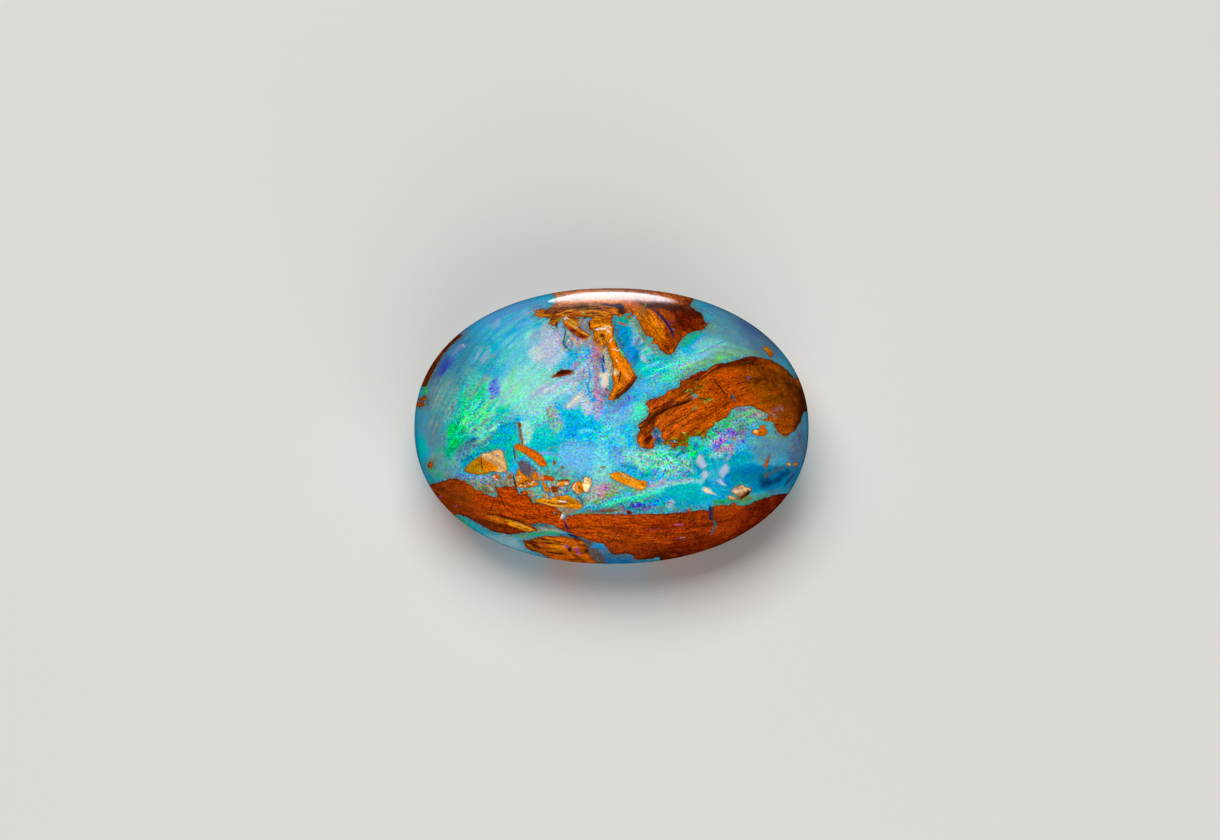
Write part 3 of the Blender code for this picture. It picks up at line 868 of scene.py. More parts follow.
QUIET = [
    (7.4, 4.6, 2.4, 1.6, 0.42), (-7.6, 4.4, 2.2, 1.6, 0.4), (-9.2, 0, 0.8, 3, 0.35), (-5, 6, 2.4, 0.7, 0.4),
    (8.4, -1.4, 1.4, 0.8, 0.3), (8, -2.8, 1.6, 0.8, 0.35), (9.6, -1, 0.6, 2, 0.4), (8.6, 2, 1.2, 1.6, 0.4),
    (-4.8, -6, 2.6, 0.6, 0.4), (-8.6, 2.6, 1, 1.5, 0.3), (3.9, -3.4, 1.2, 0.5, 0.2),
    (-5.2, 4.6, 1.8, 1.5, 0.35), (-4.8, 2.2, 1.6, 1.2, 0.25), (-3.6, 3.9, 0.9, 0.9, 0.2),
    (5.5, 3.9, 1.5, 0.7, 0.2), (-1.6, -1.6, 1.1, 0.8, 0.1), (4.55, -1.85, 0.3, 0.5, 0.75),
    (5.75, -2.2, 0.35, 0.4, 0.4), (4.73, -2.5, 0.2, 0.3, 0.6), (-0.35, 2.35, 0.35, 0.4, 0.5),
    (-1.9, 1.25, 0.4, 0.3, 0.3),
]
EVERYWHERE = 0.5
lively = EVERYWHERE + spots(LIVELY) - spots(QUIET)
print(f"liveliness {lively.min():.2f} to {lively.max():.2f}")

# %% Large tints
BROAD_TINTS = [
    # upper left, from the rim inwards
    ("powder", -5.2, 5.2, 1.5, 0.6, 27, 0.5), ("iris", -5.7, 5.75, 1.5, 0.35, 27, 0.8),
    ("iris", -4.3, 6.1, 1.2, 0.3, 10, 0.6), ("slate", -6.9, 3.8, 1.3, 1, 65, 0.7),
    ("sky", -6.9, 4.8, 0.9, 0.5, 30, 0.4), ("storm", -7.7, 4.3, 0.9, 0.4, 48, 0.5),
    ("slate", -7.9, 2.7, 1.1, 0.8, 75, 0.8), ("storm", -8.55, 3.05, 0.9, 0.32, 60, 0.85),
    ("dusk", -8.85, 1.9, 0.9, 0.3, 85, 0.6), ("aqua", -6.4, 3.6, 0.9, 0.4, 75, 0.45),
    # left
    ("haze", -9.2, 0.4, 1.6, 0.6, 88, 0.85), ("sage", -8.4, 1.3, 1.2, 0.5, 75, 0.6),
    ("haze", -8.8, -0.8, 1.2, 0.6, 95, 0.8), ("aqua", -9.65, -1, 0.45, 0.3, 80, 0.8),
    ("sage", -8.6, -2, 0.9, 0.6, 0, 0.6), ("haze", -7.9, -2.4, 1, 0.4, 0, 0.5),
    ("fern", -7.65, 0.2, 1.7, 0.62, 76, 0.8), ("mint", -6.7, 0.9, 1.5, 0.62, 62, 0.85),
    ("mint", -7, 2.2, 1, 0.4, 80, 0.6), ("azure", -5.6, -0.1, 0.9, 0.42, 15, 0.8),
    ("teal", -5.2, 0.3, 0.6, 0.4, 0, 0.6), ("aqua", -5.5, -0.8, 1.1, 0.4, 15, 0.8),
    ("slate", -7.2, -1.1, 1.4, 0.25, 29, 0.8), ("teal", -6.8, -1.45, 1, 0.26, 32, 0.8),
    ("jade", -5.2, -1.7, 0.9, 0.25, 85, 0.8), ("beige", -6.6, -2.85, 1.4, 0.4, 0, 0.7),
    # pale heart of the left half
    ("foam", -4.6, 1.8, 1.7, 1.1, 30, 0.85), ("foam", -3.8, 0.45, 0.6, 0.35, 10, 0.75),
    ("pale sky", -4.7, 3.6, 1.2, 1, 70, 0.7), ("pearl", -3.1, 4.1, 1.2, 0.9, 70, 0.8),
    ("pearl", -3.1, 2.1, 0.9, 0.6, 0, 0.6), ("foam", -3.9, 1, 1.2, 0.4, 10, 0.6),
    ("aqua", -4, -0.4, 0.7, 0.9, 0, 0.7), ("aqua", -3.3, -1, 1, 0.6, 100, 0.85),
    ("jade", -3.6, -1.9, 0.8, 0.4, -60, 0.5), ("sage", -2.5, -2.5, 0.9, 0.35, -10, 0.6),
    # veils under the crown
    ("pearl", -2.3, 2, 1.2, 0.6, 20, 0.7), ("mauve", -1.7, 4.35, 0.8, 0.35, -20, 0.7),
    ("mauve", -0.85, 3.8, 0.8, 0.38, 80, 0.75), ("pearl", -1.6, 1.3, 0.8, 0.35, 30, 0.7),
    # centre
    ("cyan", -0.7, -0.1, 1.5, 0.65, -12, 0.85), ("powder", -1.7, -1.6, 0.95, 0.8, 0, 0.9),
    ("pale sky", -0.45, -1.6, 1, 0.5, 90, 0.9), ("powder", 0.3, 0.45, 1.1, 0.65, 15, 0.85),
    ("iris", 0.4, -1.4, 0.55, 0.4, 90, 0.7), ("mint", 1.35, 0.8, 0.8, 0.4, 75, 0.75),
    ("foam", -0.5, -2.6, 0.8, 0.5, 0, 0.6),
    # gully and diagonal band
    ("azure", 0.75, 4.2, 1.4, 0.5, -72, 0.95), ("jade", 0.6, 5.3, 0.5, 0.28, -10, 0.9),
    ("pearl", 1.6, 4.3, 1.1, 0.28, -68, 0.7), ("aqua", 2.3, 3, 1.2, 0.5, 15, 0.85),
    ("powder", 2, 2.2, 0.9, 0.5, 20, 0.8), ("mint", 3.1, 2.5, 0.9, 0.4, 30, 0.75),
    ("foam", 4.6, 3.6, 1.5, 0.5, 28, 0.75), ("mint", 5, 3.15, 1.2, 0.22, 20, 0.5),
    ("sage", 6.4, 3.9, 1.7, 0.5, 10, 0.7), ("haze", 6.4, 4.7, 1.8, 0.6, -10, 0.85),
    ("dusk", 7.8, 4.3, 1.6, 0.7, -40, 0.8), ("storm", 6.6, 5.3, 2.2, 0.32, -31, 0.6),
    ("haze", 5.4, 5.7, 1.6, 0.4, -20, 0.7), ("sage", 5.2, 4.9, 0.7, 0.3, 60, 0.5),
    # right
    ("foam", 2.3, -1.75, 1.7, 0.7, 0, 0.85), ("mint", 4.9, -0.75, 0.8, 0.35, 25, 0.7),
    ("iris", 6, -0.6, 1, 0.5, 20, 0.75), ("sage", 6.8, 0.4, 0.9, 0.5, 0, 0.8),
    ("lilac", 6.9, 0.8, 0.9, 0.25, 0, 0.5), ("mauve", 5.6, -1.1, 0.6, 0.22, -5, 0.75),
    # the dusk along the right rim is partly the opal's own grey, partly painted shade
    ("haze", 8.2, -1.2, 1.6, 0.75, 0, 0.9), ("dusk", 9.6, -0.9, 1.5, 0.5, 85, 0.9),
    ("slate", 9.6, 2.6, 1.3, 0.3, -60, 0.8), ("teal", 4.9, -2.2, 1.7, 0.8, 0, 0.8),
    ("cyan", 5.2, -2.3, 0.9, 0.5, 0, 0.4), ("powder", 5.4, -2.4, 0.6, 0.4, 60, 0.5),
    ("teal", 6.4, -1.6, 0.8, 0.3, 0, 0.7), ("petrol", 7.6, -2.6, 1.9, 0.55, 0, 0.9),
    ("teal", 4, -3.35, 1.4, 0.55, 0, 0.9), ("aqua", 4.2, -3.2, 1.2, 0.45, 0, 0.6),
    ("petrol", 7, -3.3, 1.3, 0.2, 5, 0.6),
    # above the band
    ("beige", -0.6, -3.45, 1.2, 0.4, 12, 0.9), ("jade", 0.5, -3.05, 0.8, 0.2, -8, 0.5),
    ("teal", 1.4, -4.1, 2.2, 0.3, 2, 0.8), ("sage", -4, -3.3, 0.7, 0.25, -20, 0.8),
    # low rim
    ("sage", -3.4, -5.15, 0.8, 0.16, -8, 0.9), ("navy", -2.4, -5.6, 0.7, 0.09, -12, 0.8),
    ("leaf", -4.2, -5.48, 0.8, 0.1, 8, 0.8), ("whey", -5.3, -5.95, 1.3, 0.32, -18, 0.95),
    ("jade", -7.5, -4.95, 0.7, 0.22, -35, 0.95), ("azure", -6.8, -5.5, 0.5, 0.2, -35, 0.9),
    ("storm", 0, -6.75, 1.8, 0.25, 3, 0.85),
]
for paint, x, y, long, wide, turn, thick in BROAD_TINTS:
    cloud(opal_colour, paint, x, y, long, wide, turn, thick)
print("broad tints:", len(BROAD_TINTS))

# %% Flecks
FLECKS = [
    # x, y, length, width, turn, fields, thickness, paints
    (-5, 4.8, 1.8, 1.2, 40, HAIRS, 0.32, "pale sky, aqua, azure, iris, mint"),
    (-7.2, 3.4, 1.3, 1, 70, HAIRS, 0.35, "jade, iris, haze, slate"),
    (-7.9, 4, 0.9, 0.5, 50, LARGE, 0.35, "azure, haze, storm, lilac"),
    (-8.7, 2.6, 1.2, 0.5, 70, LARGE, 0.35, "indigo, haze, slate, dusk"),
    (-5.1, 3.3, 0.9, 0.7, 80, HAIRS, 0.5, "mint, aqua, azure, ice, powder, teal"),
    (-8.6, 0.8, 1.6, 0.7, 80, HAIRS, 0.4, "sage, dusk, jade, haze, beige"),
    (-7.9, -0.6, 0.9, 0.6, 40, SMALL, 0.75, "emerald, fern, jade, emerald, navy, leaf"),
    (-6.6, 1, 1.4, 0.6, 62, HAIRS, 0.8, "mint, lime, ice, haze, fern, aqua"),
    (-6.4, 0, 0.9, 0.4, 24, HAIRS, 0.75, "mint, ice, lime, haze, aqua"),
    (-5.5, -0.8, 1, 0.4, 15, HAIRS, 0.7, "aqua, jade, teal, fern, azure"),
    (-7.1, -1.1, 1.3, 0.3, 29, HAIRS, 0.6, "haze, lilac, sage, navy, lime"),
    (-6.9, -1.5, 1, 0.26, 32, HAIRS, 0.7, "jade, azure, fern, cobalt, teal"),
    (-8.5, -2, 0.9, 0.6, 0, LARGE, 0.35, "sage, haze, jade, beige"),
    (-4.6, 2, 1.7, 1, 35, HAIRS, 0.4, "foam, mint, beige, ice, pale sky, lime"),
    (-4.4, 1.1, 1.2, 0.35, 15, HAIRS, 0.45, "aqua, ice, mint, cyan"),
    (-3.1, 4.2, 1.2, 0.8, 70, HAIRS, 0.45, "lilac, pearl, aqua, rose, ice, beige"),
    (-3, 2, 1.2, 0.7, 30, HAIRS, 0.45, "lilac, ice, pearl, aqua, rose, mint"),
    (-3.9, -0.4, 0.6, 0.8, 90, HAIRS, 0.45, "aqua, foam, jade, beige, mint"),
    (-3.2, -1.1, 1, 0.6, 100, HAIRS, 0.55, "aqua, jade, lilac, cyan, haze, mint"),
    (-2.6, -2.4, 0.9, 0.4, 0, SMALL, 0.45, "sage, mauve, aqua, beige, jade"),
    (-2, 4.3, 1, 0.45, -30, SMALL, 0.6, "peach, mauve, sage, cream, wine, lilac"),
    (-1.3, 2.1, 1.1, 0.5, 80, HAIRS, 0.65, "lilac, mauve, aqua, violet, pearl, powder"),
    (-0.5, 1.5, 0.6, 0.35, 70, SMALL, 0.8, "mauve, peach, pearl, wine, rose, haze"),
    (-1.4, 1.1, 0.9, 0.4, 0, HAIRS, 0.4, "pearl, foam, rose, powder"),
    (-0.8, -0.2, 1.5, 0.6, -12, HAIRS, 0.4, "cyan, aqua, powder, pale sky, azure, ice"),
    (0.9, -0.5, 0.9, 0.5, 0, SMALL, 0.55, "aqua, ice, cyan, mint, iris"),
    (0.7, 1.3, 0.8, 0.3, 38, HAIRS, 0.6, "iris, violet, cyan, storm, aqua"),
    (1.6, 4.3, 1.1, 0.35, -68, HAIRS, 0.8, "pearl, aqua, lilac, beige, jade, teal"),
    (2.6, 2.9, 1.4, 0.6, 22, HAIRS, 0.6, "aqua, mint, ice, cyan, powder, fern"),
    (4.5, 3.4, 1.5, 0.5, 28, HAIRS, 0.5, "foam, sage, powder, lilac, mint, lime"),
    (5.8, 3.5, 1.4, 0.3, 12, HAIRS, 0.45, "sage, lime, mint, foam"),
    (6.2, 4.5, 1.6, 0.7, 0, LARGE, 0.25, "haze, sage, slate, dusk"),
    (2.2, -1.8, 1.7, 0.7, 0, SMALL, 0.7, "foam, lilac, mint, ice, sage, aqua"),
    (3.3, -1.6, 1, 0.8, 70, SMALL, 0.75, "mint, sage, jade, ice, teal, beige"),
    (3.6, -2.4, 0.8, 0.3, 15, SMALL, 0.75, "violet, mint, lilac, azure, pearl"),
    (6.8, 0.4, 0.9, 0.6, 60, SMALL, 0.75, "sage, lilac, lime, mauve, mint, haze"),
    (8.2, -1.2, 1.5, 0.7, 0, LARGE, 0.3, "haze, slate, sage, powder"),
    (4.9, -2.1, 1.5, 0.7, 60, HAIRS, 0.5, "cyan, teal, aqua, powder, petrol"),
    (7.6, -2.6, 1.9, 0.5, 10, HAIRS, 0.35, "petrol, teal, cobalt, jade"),
    (-0.6, -3.5, 1.3, 0.42, 14, SMALL, 0.7, "beige, mauve, sage, rose, moss"),
    (1.2, -3.85, 1.5, 0.22, 8, HAIRS, 0.75, "aqua, jade, fern, teal, haze"),
    (1.5, -4.1, 1.2, 0.24, 0, SMALL, 0.8, "indigo, violet, teal, petrol, azure"),
    (2.9, -4, 0.9, 0.3, 0, SMALL, 0.75, "teal, haze, jade, lilac, azure"),
]
for row in FLECKS:
    flecks(opal_colour, *row)
print("patches of flecks:", len(FLECKS))

# %% Smaller flashes and veils
FINE_TINTS = [
    # upper left
    ("lilac", -5.85, 5.18, 0.26, 0.14, 60, 0.9), ("indigo", -8.4, 3.1, 0.6, 0.25, 60, 0.4),
    ("ice", -4.2, 4.5, 0.5, 0.16, 70, 0.5), ("beige", -6.3, 2.35, 0.25, 0.14, 80, 0.6),
    ("iris", -5.95, 1.95, 0.5, 0.2, 85, 0.75), ("violet", -6.1, 1.42, 0.12, 0.08, 0, 0.9),
    ("emerald", -9.45, 1.8, 0.24, 0.12, 85, 1), ("bark", -9.35, 1.2, 0.28, 0.14, 80, 0.5),
    # left
    ("emerald", -8.15, -0.2, 0.3, 0.2, 60, 0.9), ("emerald", -7.9, -0.8, 0.35, 0.22, 30, 0.8),
    ("fern", -7.15, 0.6, 0.3, 0.1, 80, 0.7), ("lime", -6.5, 0.5, 0.3, 0.1, 60, 0.7),
    ("ice", -6.1, -0.2, 0.28, 0.1, 20, 0.9), ("navy", -7.1, -0.75, 0.3, 0.12, 25, 0.75),
    ("emerald", -9.1, -2.2, 0.18, 0.12, 0, 0.7), ("teal", -9.15, -2.65, 0.3, 0.12, -60, 0.8),
    ("leaf", -8.7, -2.5, 0.3, 0.18, 0, 0.5),
    # lower left, above the band
    ("lagoon", -6.1, -2.42, 0.2, 0.1, 0, 0.9), ("sage", -4.8, -1.5, 0.35, 0.12, 80, 0.7),
    ("lagoon", -1.75, -3.5, 0.45, 0.12, -38, 0.8),
    # heart of the stone
    ("petrol", 0.9, -2.1, 0.5, 0.14, -20, 0.7),
    # gully between the leg and the top right wood
    ("pearl", 1.65, 3.4, 0.3, 0.09, -50, 0.9),
    # diagonal band
    ("lilac", 4.4, 4.25, 0.5, 0.08, 40, 0.5),
    # right
    ("foam", 5.3, -1.5, 0.4, 0.14, 0, 0.7), ("peach", 7.45, 0.65, 0.3, 0.16, -20, 0.6),
    ("sage", 8, -0.5, 0.4, 0.2, 0, 0.6), ("azure", 5.8, -2.72, 0.16, 0.14, 0, 0.9),
    # between the right end of the band and the blue
    ("leaf", 5.7, -3.8, 0.55, 0.1, 6, 0.9), ("moss", 6.8, -3.72, 0.6, 0.14, 8, 0.9),
    ("haze", 7.9, -3.5, 0.7, 0.12, 8, 0.7),
    # above the band, from left to right
    ("moss", -0.5, -3.75, 0.6, 0.09, 16, 0.6), ("lagoon", -0.8, -4.33, 0.6, 0.07, 3, 0.9),
    ("beige", 0.5, -4.35, 0.6, 0.07, 2, 0.7), ("indigo", 1.2, -4, 0.35, 0.16, 0, 0.85),
    ("violet", 1.75, -4.1, 0.25, 0.1, 0, 0.6),
    # low rim
    ("jade", -7.75, -4.75, 0.4, 0.12, -35, 0.9),
]
for paint, x, y, long, wide, turn, thick in FINE_TINTS:
    cloud(opal_colour, paint, x, y, long, wide, turn, thick)
STREAK_CONTRAST = 0.75
streak = np.stack(HAIRS[:3], axis=1) - 0.5
opal_colour *= 1 + STREAK_CONTRAST * lively[:, None] * streak
print("fine tints:", len(FINE_TINTS))

# %% Seams in the opal
SEAMS = [
    # the same columns as WOOD_STROKES
    ("mint", 0.09, 0.9, -0.3, -4, 0.2, -3.85, 0.7, -3.7, 1.2, -3.58, 1.9, -3.45, 2.6, -3.25),
    ("foam", 0.1, 0.7, 1.3, -3.38, 2.1, -3.2, 2.9, -3, 3.4, -2.88, 4.1, -2.78, 4.6, -2.82),
    ("rose", 0.07, 0.55, 1.9, -3.12, 2.6, -2.95, 3.2, -2.82, 4.1, -2.7),
    ("azure", 0.1, 0.95, -1.15, 1.62, -1.05, 1.45, -0.93, 1.3),
    ("cream", 0.08, 0.75, -2.25, 0.95, -2.05, 1.15, -1.8, 1.4, -1.6, 1.52),
]
for paint, wide, thick, *line in SEAMS:
    stroke(opal_colour, paint, wide, thick, pairs(line))
print("seams:", len(SEAMS))

# %% Plates with a clean edge
PLATES = [
    # paint, thickness, then x and y of each corner
    # veils under the crown
    ("pearl", 0.5, -3.7, 4.9, -3.3, 5.2, -2.9, 4.7, -2.55, 4.4, -2.5, 3.9, -2.6, 3.3, -3.2, 2.9, -3.5, 3.4,
        -3.6, 4.2),
    ("shell", 0.95, -0.64, 2.62, -0.3, 2.74, -0.1, 2.76, -0.05, 2.5, -0.14, 2.15, -0.3, 1.92, -0.45, 2,
        -0.58, 2.15, -0.52, 2.35),
    # pale cloud at the left of it
    ("milk", 0.5, -4.35, 3.72, -3.9, 4.05, -3.6, 3.98, -3.55, 3.5, -3.8, 3.25, -4.05, 3.45),
    # heart of the stone
    ("pearl", 0.75, -1.65, 1.4, -1.35, 1.65, -1.05, 1.3, -0.98, 0.9, -1.05, 0.6, -1.25, 0.5, -1.45, 0.75),
    ("aqua", 0.55, -2.65, 0.95, -2.2, 0.82, -1.78, 0.95, -1.62, 1.18, -1.5, 0.9, -1.4, 0.6, -1.6, 0.3,
        -2.1, 0.3, -2.5, 0.4),
    ("azure", 0.7, -2.25, 0.5, -1.95, 0.6, -1.5, 0.4, -1.7, 0, -1.75, -0.35, -2, -0.6, -2.35, -0.55,
        -2.4, -0.2, -2.3, 0.1),
    ("powder", 0.6, -2.7, -1, -2.3, -0.78, -1.8, -0.72, -1.3, -0.75, -1.05, -0.95, -1.1, -1.5, -1.2, -2.2,
        -1.9, -2.4, -2.5, -2.2, -2.75, -1.7),
    ("iris", 0.45, -0.45, 0.75, -0.1, 1.15, 0.3, 1.3, 0.95, 1.75, 1.1, 1.3, 0.7, 0.9, 0.3, 0.6, -0.3, 0.5),
    ("rose", 0.6, -0.95, 1.2, -0.6, 1.1, -0.55, 0.7, -0.65, 0.3, -0.8, 0.35, -0.9, 0.7),
    ("beige", 0.5, -3.35, 0.95, -3, 1.02, -2.72, 0.82, -2.5, 0.25, -2.38, -0.05, -2.7, -0.3, -3.1, -0.2,
        -3.3, 0.2),
    ("foam", 0.8, -4.62, 0.25, -4.25, 0.32, -4.05, -0.1, -4.05, -0.6, -4.2, -0.95, -4.48, -1, -4.62, -0.5),
    # mottled places between wood and opal
    ("tan", 0.8, -3, -4, -2.2, -4.08, -1.85, -4.3, -2, -4.42, -2.3, -4.52, -2.7, -4.4),
    ("tan", 0.75, -5.35, -2.35, -4.98, -2.3, -4.85, -3.2, -5.3, -3.2, -5.6, -2.95, -5.45, -2.6),
    ("tan", 0.65, -4.7, -3.2, -4.1, -3.25, -3.8, -3.5, -3.9, -3.85, -4.4, -3.55),
    ("tan", 0.6, -1.98, 5.45, -1.2, 5.42, -1.08, 5, -0.95, 4.75, -1.1, 4.62, -1.5, 4.9, -1.6, 5.15),
    ("peach", 0.7, -0.55, 4.15, -0.1, 3.85, 0.1, 3.4, 0.12, 2.85, -0.05, 2.75, -0.38, 2.95, -0.45, 3.6),
    ("tan", 0.6, -3.2, -3, -2.85, -2.75, -2.5, -3.1, -2.4, -3.35, -2.8, -3.55, -3.1, -3.4),
    ("moss", 0.5, 0.55, 5.75, 1.1, 5.5, 1.4, 5, 1.7, 4.5, 2.2, 4, 2.6, 3.65, 2.2, 3.6, 1.9, 4, 1.5, 4.5,
        1.2, 5, 0.9, 5.3, 0.5, 5.45),
    ("moss", 0.4, 3.5, 2.2, 4.3, 2.85, 5.4, 3.4, 6.8, 3.7, 7.6, 3.75, 6.2, 3.95, 5, 3.65, 3.9, 3, 3.3, 2.5),
    ("moss", 0.5, 7.6, 0.4, 8.1, 0.3, 8.4, 0, 8.3, -0.3, 7.9, -0.2, 7.8, 0.1),
    ("plum", 0.3, 8.5, -2.05, 9.5, -2, 9.3, -2.6, 8.7, -2.5),
    # at the foot: the wedge, the green strip and the blue beside the low wood
    ("lagoon", 0.8, -4.5, -4.9, -3.75, -4.9, -3.05, -5.08, -2.6, -5.22, -3, -5.24, -3.7, -5.14, -4.4, -5),
    ("beige", 0.7, -3.7, -5.16, -3.1, -5.12, -2.35, -5.32, -2.3, -5.42, -3, -5.38, -3.65, -5.36),
    ("sage", 0.8, -4.7, -5.46, -4.3, -5.46, -4.15, -5.6, -4.3, -5.8, -4.65, -5.75),
    ("jade", 0.9, -4.15, -5.72, -4, -5.4, -3.5, -5.34, -2.8, -5.36, -2.75, -5.5, -3.4, -5.56, -3.9, -5.62),
    ("navy", 0.9, -2.25, -5.5, -1.9, -5.56, -1.4, -5.75, -0.95, -5.98, -1.2, -6.05, -1.7, -5.72,
        -2.2, -5.62),
    ("dusk", 0.85, -1.4, -5.8, -0.9, -6, -0.2, -6.15, 0.1, -6.5, 0.1, -7.4, -0.6, -7.3, -1, -6.7,
        -1.3, -6.4),
    ("azure", 0.95, -1.15, -6.12, -1, -6, -0.6, -6.06, -0.15, -6.2, -0.2, -6.3, -0.6, -6.18, -1, -6.18),
    ("petrol", 0.6, -0.4, -6.4, 0, -6.4, 0.8, -6.6, 2.4, -6.75, 2.4, -7.2, 0, -7.3, -0.4, -6.9),
    # upper left: the blue patch and the green streak beside it
    ("iris", 0.75, -6.25, 1.95, -6.1, 2.35, -5.8, 2.4, -5.62, 2, -5.7, 1.45, -6, 1.35, -6.15, 1.6),
    ("sage", 0.35, -7.5, 2.9, -7, 3, -6.6, 2.4, -6.4, 1.5, -6.9, 1.4, -7.2, 2),
    # moss and leaf along the top edge of the band
    ("leaf", 0.55, 5.2, -3.76, 5.7, -3.7, 6.4, -3.82, 7.2, -3.7, 7.9, -3.4, 7.9, -3.7, 6.8, -4.1,
        5.2, -4.15),
    ("moss", 0.6, -7.6, -2.75, -6.8, -3, -5.9, -3.1, -5.7, -3.3, -5.7, -3.75, -6.5, -3.65, -7.3, -3.25),
    ("plum", 0.85, -1.4, -5.82, -1, -5.9, -0.85, -6.2, -0.5, -6.4, -0.3, -6.9, -0.8, -7.2, -1.1, -6.6),
    # right
    ("indigo", 0.6, 1, -3.92, 1.4, -3.9, 1.9, -4, 2, -4.15, 1.4, -4.18, 1, -4.1),
    ("jade", 0.8, 3.5, 4.1, 3.6, 4.4, 3.95, 4.7, 4.25, 4.84, 4.64, 4.86, 4.56, 4.55, 4.2, 4.3, 3.9, 4.08,
        3.62, 4),
    ("navy", 0.6, 2.12, -0.25, 2.3, -0.05, 2.5, -0.35, 2.7, -0.8, 2.45, -1, 2.2, -0.95, 2.15, -0.6),
    ("petrol", 0.5, 6.2, -2.02, 7, -1.98, 7.8, -2, 8.6, -2.02, 9.6, -2.05, 9.4, -3.2, 8, -3.4, 6.6, -2.9),
    ("pearl", 0.9, 4.42, -1.42, 4.58, -1.48, 4.66, -1.8, 4.8, -1.98, 4.6, -2.22, 4.4, -2.05, 4.28, -1.85,
        4.32, -1.6),
    ("pearl", 0.8, 5.62, -2, 5.85, -1.92, 5.98, -2.1, 5.97, -2.4, 5.78, -2.5, 5.65, -2.62, 5.55, -2.45,
        5.5, -2.2),
    ("pearl", 0.9, 5.35, -2.7, 5.5, -2.68, 5.62, -2.82, 5.78, -3, 5.62, -3.02, 5.45, -2.88),
    ("pearl", 0.9, 4.72, -2.25, 4.86, -2.4, 4.84, -2.65, 4.72, -2.75, 4.6, -2.62, 4.58, -2.42),
    ("cream", 0.9, 4.66, -3.2, 4.8, -3.12, 4.98, -3.18, 5.12, -3.34, 5.32, -3.42, 5.28, -3.52, 5, -3.46,
        4.76, -3.36),
    # lower left, beside the sparkling triangle
    ("plum", 0.9, -4.85, -1.85, -4.6, -1.7, -4.2, -1.85, -3.85, -2.2, -3.68, -2.6, -3.58, -2.9, -3.9, -2.78,
        -4.4, -2.57, -4.6, -2.35, -4.7, -2.15),
]
for paint, thick, *corners in PLATES:
    plate(opal_colour, paint, thick, pairs(corners))
print("plates:", len(PLATES))

# %% Flecks that lie over the plates
LATE_FLECKS = [
    # the same columns as FLECKS
    (0.75, 4.2, 1.3, 0.4, -72, HAIRS, 0.8, "cobalt, lagoon, azure, petrol, teal"),
    (-5, 5.4, 1.7, 0.5, 25, HAIRS, 0.4, "iris, sky, powder, azure"),
    (-5.95, 1.9, 0.45, 0.3, 80, SMALL, 0.9, "violet, azure, grape"),
    (-6.9, 1.8, 1.2, 0.4, 65, HAIRS, 0.6, "mint, dusk, emerald, sage"),
    (3.8, -1.25, 0.9, 0.45, 5, SMALL, 0.85, "teal, emerald, petrol, fern"),
    (2, -2.5, 0.8, 0.3, 10, SMALL, 0.7, "petrol, teal, emerald, violet"),
    (1.9, 4.4, 1, 0.25, -60, SMALL, 0.6, "tan, cream, teal, moss"),
    (-1.7, 2.9, 0.7, 0.35, 48, HAIRS, 0.7, "violet, lilac, mauve, aqua, pearl"),
    (-0.7, 3, 0.9, 0.2, 88, HAIRS, 0.7, "violet, peach, wine, mauve, aqua"),
    (-2.9, 0.4, 0.6, 0.3, 100, SMALL, 0.8, "emerald, sage, peach, dusk, mint, beige"),
    (-6.4, -2.95, 1.3, 0.4, 0, SMALL, 0.8, "beige, emerald, mauve, moss, dusk, haze"),
    (6.3, 0, 1.1, 0.6, 45, LARGE, 0.8, "emerald, mauve, sage, violet, mint, dusk"),
    (5.7, -0.9, 0.8, 0.4, 10, LARGE, 0.7, "mauve, violet, mint, rose"),
    (5.6, 0.05, 0.8, 0.35, 45, SMALL, 0.9, "emerald, fern, jade, mint"),
    (-6.3, -3.1, 1.2, 0.3, 0, SMALL, 0.7, "tan, olive, moss, umber, beige"),
    (0.2, -4.25, 2, 0.14, 2, SMALL, 0.7, "tan, moss, navy, umber, mauve"),
    (-2.4, -3.2, 0.8, 0.35, -20, SMALL, 0.5, "tan, cream, moss, jade"),
    (-3.9, -2.2, 0.6, 0.3, -50, SMALL, 0.4, "tan, moss, beige"),
    (-0.9, 4.3, 0.7, 0.25, -25, SMALL, 0.8, "tan, olive, peach, honey"),
    (-3.3, -3.5, 0.5, 0.2, -20, SMALL, 0.8, "tan, olive, moss, honey"),
    (4.8, 3.1, 1.2, 0.25, 25, SMALL, 0.6, "moss, beige, lime"),
    (0.8, -3.4, 1.2, 0.25, 8, SMALL, 0.6, "beige, lime, moss"),
    (-4.1, 5.6, 0.7, 0.3, 20, HAIRS, 0.8, "powder, lilac, pale sky"),
    (-5.6, 0.8, 0.5, 0.35, 40, SMALL, 0.7, "jade, fern, aqua"),
    (2.3, -2.8, 0.6, 0.25, 12, SMALL, 0.7, "sage, rose, mint"),
    (5.7, -1.4, 0.6, 0.3, 15, SMALL, 0.7, "rose, beige, mauve"),
    (-6.4, 3.4, 1.6, 0.7, 65, HAIRS, 0.5, "sky, iris, aqua"),
    (8.5, -2.7, 1, 0.6, 0, LARGE, 0.7, "navy, lagoon, petrol, plum, navy"),
    (8.9, -2.3, 0.6, 0.3, 0, HAIRS, 0.6, "plum, navy, dusk"),
    (6.7, -3.7, 0.5, 0.12, 5, SMALL, 0.9, "olive, tan, moss"),
    (-6.5, 3.6, 0.5, 0.4, 65, HAIRS, 0.6, "haze, pale sky, lilac, sage"),
    (-3.85, -2.6, 0.25, 0.2, 0, SMALL, 0.95, "amber, tan, honey, amber"),
    (2.9, -4.2, 0.8, 0.12, 2, SMALL, 0.6, "moss, lagoon, olive"),
    # plum and haze here darken the right rim, partly as painted shade
    (9.5, -0.7, 0.35, 0.5, 0, LARGE, 0.5, "plum, haze, plum"),
    (-7.4, -1.2, 0.6, 0.4, 35, HAIRS, 0.5, "teal, lagoon, slate"),
]
